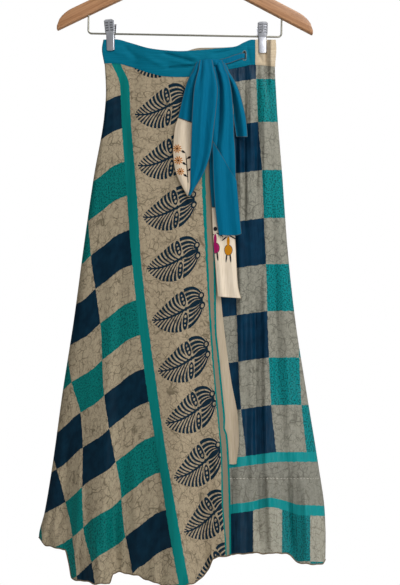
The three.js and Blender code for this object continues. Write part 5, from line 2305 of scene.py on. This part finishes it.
@dataclass(frozen=True)
class Hanger:
    """The wooden hanger with its wire bar and hook."""

    turn: float = 1.05
    half: float = 223
    slope: float = 0.5
    top_at_centre: float = -67.2
    bottom_at_centre: float = -92.5
    top_round: float = 60
    bottom_round: float = 75
    shoulder: float = 197
    end_drop: float = 18.5
    thickness: float = 11
    edge: float = 2.4
    bar_half: float = 168.4
    bar_z: float = -208
    bar_corner: float = 6
    bar_end: float = -162
    bar_radius: float = 1.6
    hook_radius: float = 1.9
    hook_bend: float = 22
    hook_foot: float = -94
    hook_out: float = 50

    def line(self, x: Values, at_centre: float, rounded: float) -> Values:
        """The height of a long edge of the arms, rounded in the middle.

        Args:
            x: Places across, in mm.
            at_centre: Where its two straights would meet.
            rounded: How far from the middle the round reaches.

        Returns:
            The height at each place, in mm.
        """
        flat = at_centre - self.slope * np.abs(x)
        inner = at_centre - self.slope * (rounded**2 + x**2) / (2 * rounded)
        return np.where(np.abs(x) < rounded, inner, flat)

    def arms(self) -> Object:
        """Shapes the two arms in one piece of wood.

        Returns:
            The mesh object.
        """
        piece = new_piece("hanger_wooden_arms", bpy.ops.mesh.primitive_cube_add, size=1)
        piece.scale = (2 * self.half * MM, self.thickness * MM, 20 * MM)
        bpy.ops.object.transform_apply()
        select_only(piece)
        bpy.ops.object.mode_set(mode="EDIT")
        bpy.ops.mesh.select_mode(type="EDGE")
        bpy.ops.mesh.select_all(action="DESELECT")
        bpy.ops.object.mode_set(mode="OBJECT")
        for edge in piece.data.edges:
            low, high = (piece.data.vertices[n].co for n in edge.vertices)
            edge.select = abs(low.x - high.x) > self.half * MM
        bpy.ops.object.mode_set(mode="EDIT")
        bpy.ops.mesh.subdivide(number_cuts=139)
        bpy.ops.object.mode_set(mode="OBJECT")
        points = corners_of(piece.data)
        x = points[:, 0] / MM
        above = self.line(x, self.top_at_centre, self.top_round)
        under = self.line(x, self.bottom_at_centre, self.bottom_round)
        share = np.clip((np.abs(x) - self.shoulder) / (self.half - self.shoulder), 0, 1)
        above = above - self.end_drop * (1 - np.sqrt(1 - share**2))
        points[:, 2] = np.where(points[:, 2] > 0, above, under) * MM
        move_corners(piece.data, points)
        apply_modifier(
            piece, "BEVEL", width=self.edge * MM, segments=4, limit_method="ANGLE",
            angle_limit=math.radians(38),
        )
        shade(piece, 40)
        return piece

    def bar(self) -> Object:
        """Bends the wire bar that carries the clips.

        Returns:
            The mesh object.
        """
        half, corner = self.bar_half, self.bar_corner
        drop = self.bar_z + corner
        return Wire(
            "hanger_wire_bar", self.bar_radius, (-half, 0, self.bar_end),
            (
                WireBend(by=(0, 0, drop - self.bar_end)), WireBend(centre=(corner - half, drop), angle=-90),
                WireBend(by=(2 * (half - corner), 0, 0)), WireBend(centre=(half - corner, drop), angle=-90),
                WireBend(by=(0, 0, self.bar_end - drop)),
            ),
        ).build()

    def hook(self) -> Object:
        """Bends the wire hook, out to the right, over the top and down to the left.

        Returns:
            The mesh object.
        """
        centre = self.hook_radius - self.hook_bend
        out = math.radians(self.hook_out)
        reach = self.hook_bend * math.cos(out)
        lead = reach / (1 - math.cos(out))
        lead_z = centre - self.hook_bend * math.sin(out) - lead * math.sin(out)
        return Wire(
            "hanger_wire_hook", self.hook_radius, (0, 0, self.hook_foot),
            (
                WireBend(by=(0, 0, lead_z - self.hook_foot)),
                WireBend(centre=(lead, lead_z), angle=self.hook_out),
                WireBend(centre=(0, centre), angle=-255),
            ),
        ).build()

    def build(self) -> None:
        """Builds and dresses the hanger."""
        wood = Beech().make()
        steel = Metal("drawn_steel_wire", "#a5a397", (0.28, 0.42), 1.6, 0.01).make()
        finishes = (
            (self.arms(), wood, Slot.WOOD, "hanger_arms"), (self.bar(), steel, Slot.STEEL, "hanger_bar"),
            (self.hook(), steel, Slot.STEEL, "hanger_hook"),
        )
        for piece, material, slot, node in finishes:
            turn_and_apply(piece, self.turn, (0, 0, 0))
            hand_over(piece, material, slot, node)


@dataclass(frozen=True)
class Clips:
    """The two spring clips on the bar: pressed jaws with stamped grips, a coil and rubber pads."""

    places: tuple[tuple[str, float, float, float, float], ...] = (
        ("left", -133.6, -184.8, 1.5, -9), ("right", 131, -188.8, 0.5, 2),
    )
    length: float = 51.8
    jaw: Rows = table(
        "down y half flange", (0, 11.6, 8.3, 2.4), (8, 9.6, 8.3, 2.4), (18.6, 6.2, 8.1, 2),
        (21.2, 5.2, 7, 1.6), (24.4, 4.4, 6.8, 1.2), (28.4, 4.4, 6.8, 1.2), (40.4, 4.9, 6.8, 1.6),
        (51.8, 5.1, 6.8, 1.7),
    )
    wall: float = 0.9
    grip_rows: tuple[float, ...] = (4.8, 8.7, 12.6, 16.5)
    grip_depth: float = 0.7
    grip_half: float = 0.95
    coil_radius: float = 2.75
    coil_wire: float = 0.6
    coil_turns: int = 8
    coil_length: float = 10
    pad_size: Triple = (11.6, 1.5, 9)
    pad_y: float = 3.45
    hanger: Hanger = Hanger()

    def jaw_plate(self, name: str, side: Side) -> Object:
        """Presses a jaw with flanges, stamped grips and a rounded toe.

        Args:
            name: The piece's name.
            side: The side of the skirt that it grips.

        Returns:
            The mesh object.
        """
        piece, share, down_share = new_grid(name, 34, 92)
        down = down_share * self.length
        half = self.jaw.read("half", down)
        flange = self.jaw.read("flange", down)
        y = self.jaw.read("y", down)
        turned = flange + 2 * half
        arc = share * (turned + flange) - flange
        x = np.clip(arc, 0, 2 * half) - half
        back = np.maximum(-arc, 0) + np.maximum(arc - 2 * half, 0)
        crown = 0.5 * (1 - (x / half) ** 2)
        corner = 0.8 * smooth(0.86, 1, np.abs(x) / half)
        depth = y + crown - corner - back
        split = smooth(0.9, 1.6, np.abs(x)) * (1 - smooth(6.2, 7.0, np.abs(x)))
        stamp_and_slot_shade = np.zeros_like(down)
        for row in self.grip_rows:
            stamp_and_slot_shade = stamp_and_slot_shade + np.exp(-(((down - row) / self.grip_half) ** 2)) * split * (back == 0)
        depth = depth - self.grip_depth * stamp_and_slot_shade
        depth = depth + 0.9 * (1 - smooth(0, 1.6, down))
        down = down - 1.6 * smooth(0.45, 1, np.abs(x) / half) * smooth(0.97, 1, down_share)
        down = down + 1.4 * smooth(0.6, 1, np.abs(x) / half) * (1 - smooth(0, 0.05, down_share))
        points = np.stack([x, side.value * depth, -down], axis=-1) * MM
        move_corners(piece.data, points)
        # The stamp's shape also marks where the slots' painted shade goes.
        map_points(piece.data, "stamp_and_slot_shade", stamp_and_slot_shade, stamp_and_slot_shade)
        apply_modifier(piece, "SOLIDIFY", thickness=self.wall * MM, offset=0)
        edit(piece)
        leave_edit()
        shade(piece, 50)
        return piece

    def coil(self, name: str) -> Object:
        """Screws one ring of wire along the bar to make the spring.

        Args:
            name: The piece's name.

        Returns:
            The mesh object.
        """
        piece = new_piece(
            name, bpy.ops.mesh.primitive_circle_add, vertices=8, radius=self.coil_wire * MM,
            location=(-self.coil_length / 2 * MM, 0, self.coil_radius * MM), rotation=(math.pi / 2, 0, 0),
        )
        bpy.ops.object.transform_apply()
        apply_modifier(
            piece, "SCREW", axis="X", angle=2 * math.pi,
            screw_offset=self.coil_length / self.coil_turns * MM, iterations=self.coil_turns, steps=18,
            render_steps=18, use_merge_vertices=True, merge_threshold=1e-6,
        )
        edit(piece)
        bpy.ops.mesh.fill_holes(sides=0)
        leave_edit()
        shade(piece, 60)
        return piece

    def pad(self, name: str, side: Side) -> Object:
        """Moulds a rubber pad with level grooves on its gripping face.

        Args:
            name: The piece's name.
            side: The side of the skirt that it grips.

        Returns:
            The mesh object.
        """
        piece = new_piece(name, bpy.ops.mesh.primitive_cube_add, size=1)
        piece.scale = tuple(value * MM for value in self.pad_size)
        bpy.ops.object.transform_apply()
        edit(piece)
        bpy.ops.mesh.subdivide(number_cuts=11)
        bpy.ops.object.mode_set(mode="OBJECT")
        points = corners_of(piece.data)
        grooves = 0.22 * (1 + np.cos(points[:, 2] / MM * 2 * math.pi / 1.6))
        gripping = points[:, 1] * side.value < -0.49 * self.pad_size[1] * MM
        points[:, 1] += np.where(gripping, side.value * grooves * MM, 0)
        move_corners(piece.data, points)
        apply_modifier(
            piece, "BEVEL", width=0.35 * MM, segments=2, limit_method="ANGLE", angle_limit=math.radians(60),
        )
        shade(piece, 50)
        return piece

    def bar_height(self, x: float) -> float:
        """The bar's height where it passes through a clip, after the hanger's turn."""
        turn = math.radians(self.hanger.turn)
        along = (x - self.hanger.bar_z * math.sin(turn)) / math.cos(turn)
        return self.hanger.bar_z * math.cos(turn) - along * math.sin(turn)

    def build(self) -> None:
        """Builds both clips."""
        # The last colour, near black, is painted shade in the stamped grip slots.
        chrome = Metal("nickel_plated_pressed_steel", "#c6c8cf", (0.36, 0.46), 6.0, 0.004, "#121014").make()
        rubber = MouldedRubber().make()
        for name, x, top, turn, swing in self.places:
            at = (x, 0, top)
            for side, word in ((Side.FRONT, "front"), (Side.BACK, "rear")):
                jaw = self.jaw_plate(f"clip_{name}_{word}_jaw_plate", side)
                turn_and_apply(jaw, -turn, at, swing)
                hand_over(jaw, chrome, Slot.CHROME, f"clip_{name}_{word}_jaw")
                pad = self.pad(f"clip_{name}_{word}_grip_pad", side)
                select_only(pad)
                pad.location = (
                    0, side.value * self.pad_y * MM, (self.pad_size[2] / 2 - self.length + 0.5) * MM,
                )
                bpy.ops.object.transform_apply()
                turn_and_apply(pad, -turn, at, swing)
                hand_over(pad, rubber, Slot.PAD, f"clip_{name}_{word}_pad")
            coil = self.coil(f"clip_{name}_coil_spring")
            turn_and_apply(coil, self.hanger.turn, (x, 0, self.bar_height(x)))
            hand_over(coil, chrome, Slot.CHROME, f"clip_{name}_spring")


# The studio


@dataclass(frozen=True)
class Lamp:
    """A square soft light that faces the skirt: its place and size in metres and its power in watts."""

    name: str
    at: Triple
    power: float
    size: float

    def build(self, look_at: Triple) -> None:
        """Adds the light.

        Args:
            look_at: The place that it faces.
        """
        facing = (Vector(look_at) - Vector(self.at)).to_track_quat("-Z", "Y").to_euler()
        lamp = new_piece(
            self.name, bpy.ops.object.light_add, type="AREA", location=self.at, rotation=facing,
        )
        lamp.data.energy = self.power
        lamp.data.size = self.size


@dataclass(frozen=True)
class Studio:
    """The camera at the photo's angle, soft lights and a plain pale floor."""

    eye: Triple = (0.0227, -1.3, -0.6568)
    lens: float = 45.85
    lamps: tuple[Lamp, ...] = (
        Lamp("key_light", (0.85, -1.05, 0.8), 22.5, 1.1), Lamp("fill_light", (-1.6, -1.5, -0.5), 2.6, 1.8),
        Lamp("back_light", (0.3, 1.8, 0.4), 22, 1.8), Lamp("low_light", (1.15, -1.15, -1.2), 5.5, 0.7),
    )
    look_at: Triple = (0, 0, -0.65)
    sky: Pair = (0.02, 0.41)
    sky_from: Triple = (0.6, -0.25, 0.76)
    floor_z: float = -1.42
    floor_near: float = -3.0
    floor_far: float = 0.42
    floor_half: float = 3.2
    floor_grain_mm: float = 5.5556

    def camera(self) -> None:
        """Adds the camera, level and square to the skirt."""
        turn = (math.pi / 2, 0, 0)
        camera = new_piece("camera", bpy.ops.object.camera_add, location=self.eye, rotation=turn)
        camera.data.sensor_fit = "AUTO"
        camera.data.sensor_width = 36
        camera.data.lens = self.lens
        bpy.context.scene.camera = camera

    def world(self) -> None:
        """Lights the scene softly from above and the right, in front of a white background."""
        world = bpy.data.worlds.new("pale_studio")
        bpy.context.scene.world = world
        world.use_nodes = True
        world.node_tree.nodes.clear()
        sketch = Sketch(world.node_tree)
        add = sketch.add
        facing = add("TexCoord", {}, out="Generated")
        towards = add("VectorMath", {0: facing, 1: self.sky_from}, out="Value", operation="DOT_PRODUCT")
        sky = add("MapRange", {0: towards, 1: -1.0, 2: 1.0, 3: self.sky[0], 4: self.sky[1]})
        seen = add("LightPath", {}, out="Is Camera Ray")
        strength = add("Math", {0: seen, 1: sky}, "MAXIMUM")
        shader = add("Background", {"Color": linear("#ffffff"), "Strength": strength})
        output = world.node_tree.nodes.new("ShaderNodeOutputWorld")
        world.node_tree.links.new(shader, output.inputs["Surface"])
        bpy.context.scene.view_settings.view_transform = "Standard"

    def floor(self) -> None:
        """Lays the plain floor under the skirt."""
        floor = new_piece("studio_floor", bpy.ops.mesh.primitive_plane_add, size=1)
        length = self.floor_far - self.floor_near
        floor.scale = (2 * self.floor_half, length, 1)
        floor.location = (0, self.floor_near + length / 2, self.floor_z)
        bpy.ops.object.transform_apply()
        sketch = new_material("matt_white_floor_board")
        add = sketch.add
        place = add("TexCoord", {}, out="Object")
        grain = add("TexNoise", {"Vector": place, "Scale": per_mm(self.floor_grain_mm)})
        bump = add("Bump", {"Height": grain, "Distance": 0.2 * MM, "Strength": 0.3})
        shader = add("BsdfPrincipled", {"Base Color": linear("#f4f3f1"), "Roughness": 0.8, "Normal": bump})
        floor.data.materials.append(sketch.close(shader))

    def build(self) -> None:
        """Sets up the studio."""
        self.camera()
        for lamp in self.lamps:
            lamp.build(self.look_at)
        self.world()
        self.floor()


def main() -> None:
    """Builds the studio and the dressed skirt."""
    logging.basicConfig(level=logging.INFO, format="%(name)s: %(message)s")
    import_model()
    Studio().build()
    SkirtPanels().build()
    Waistband().build()
    Bow().build()
    Hanger().build()
    Clips().build()


if __name__ == "__main__":
    main()
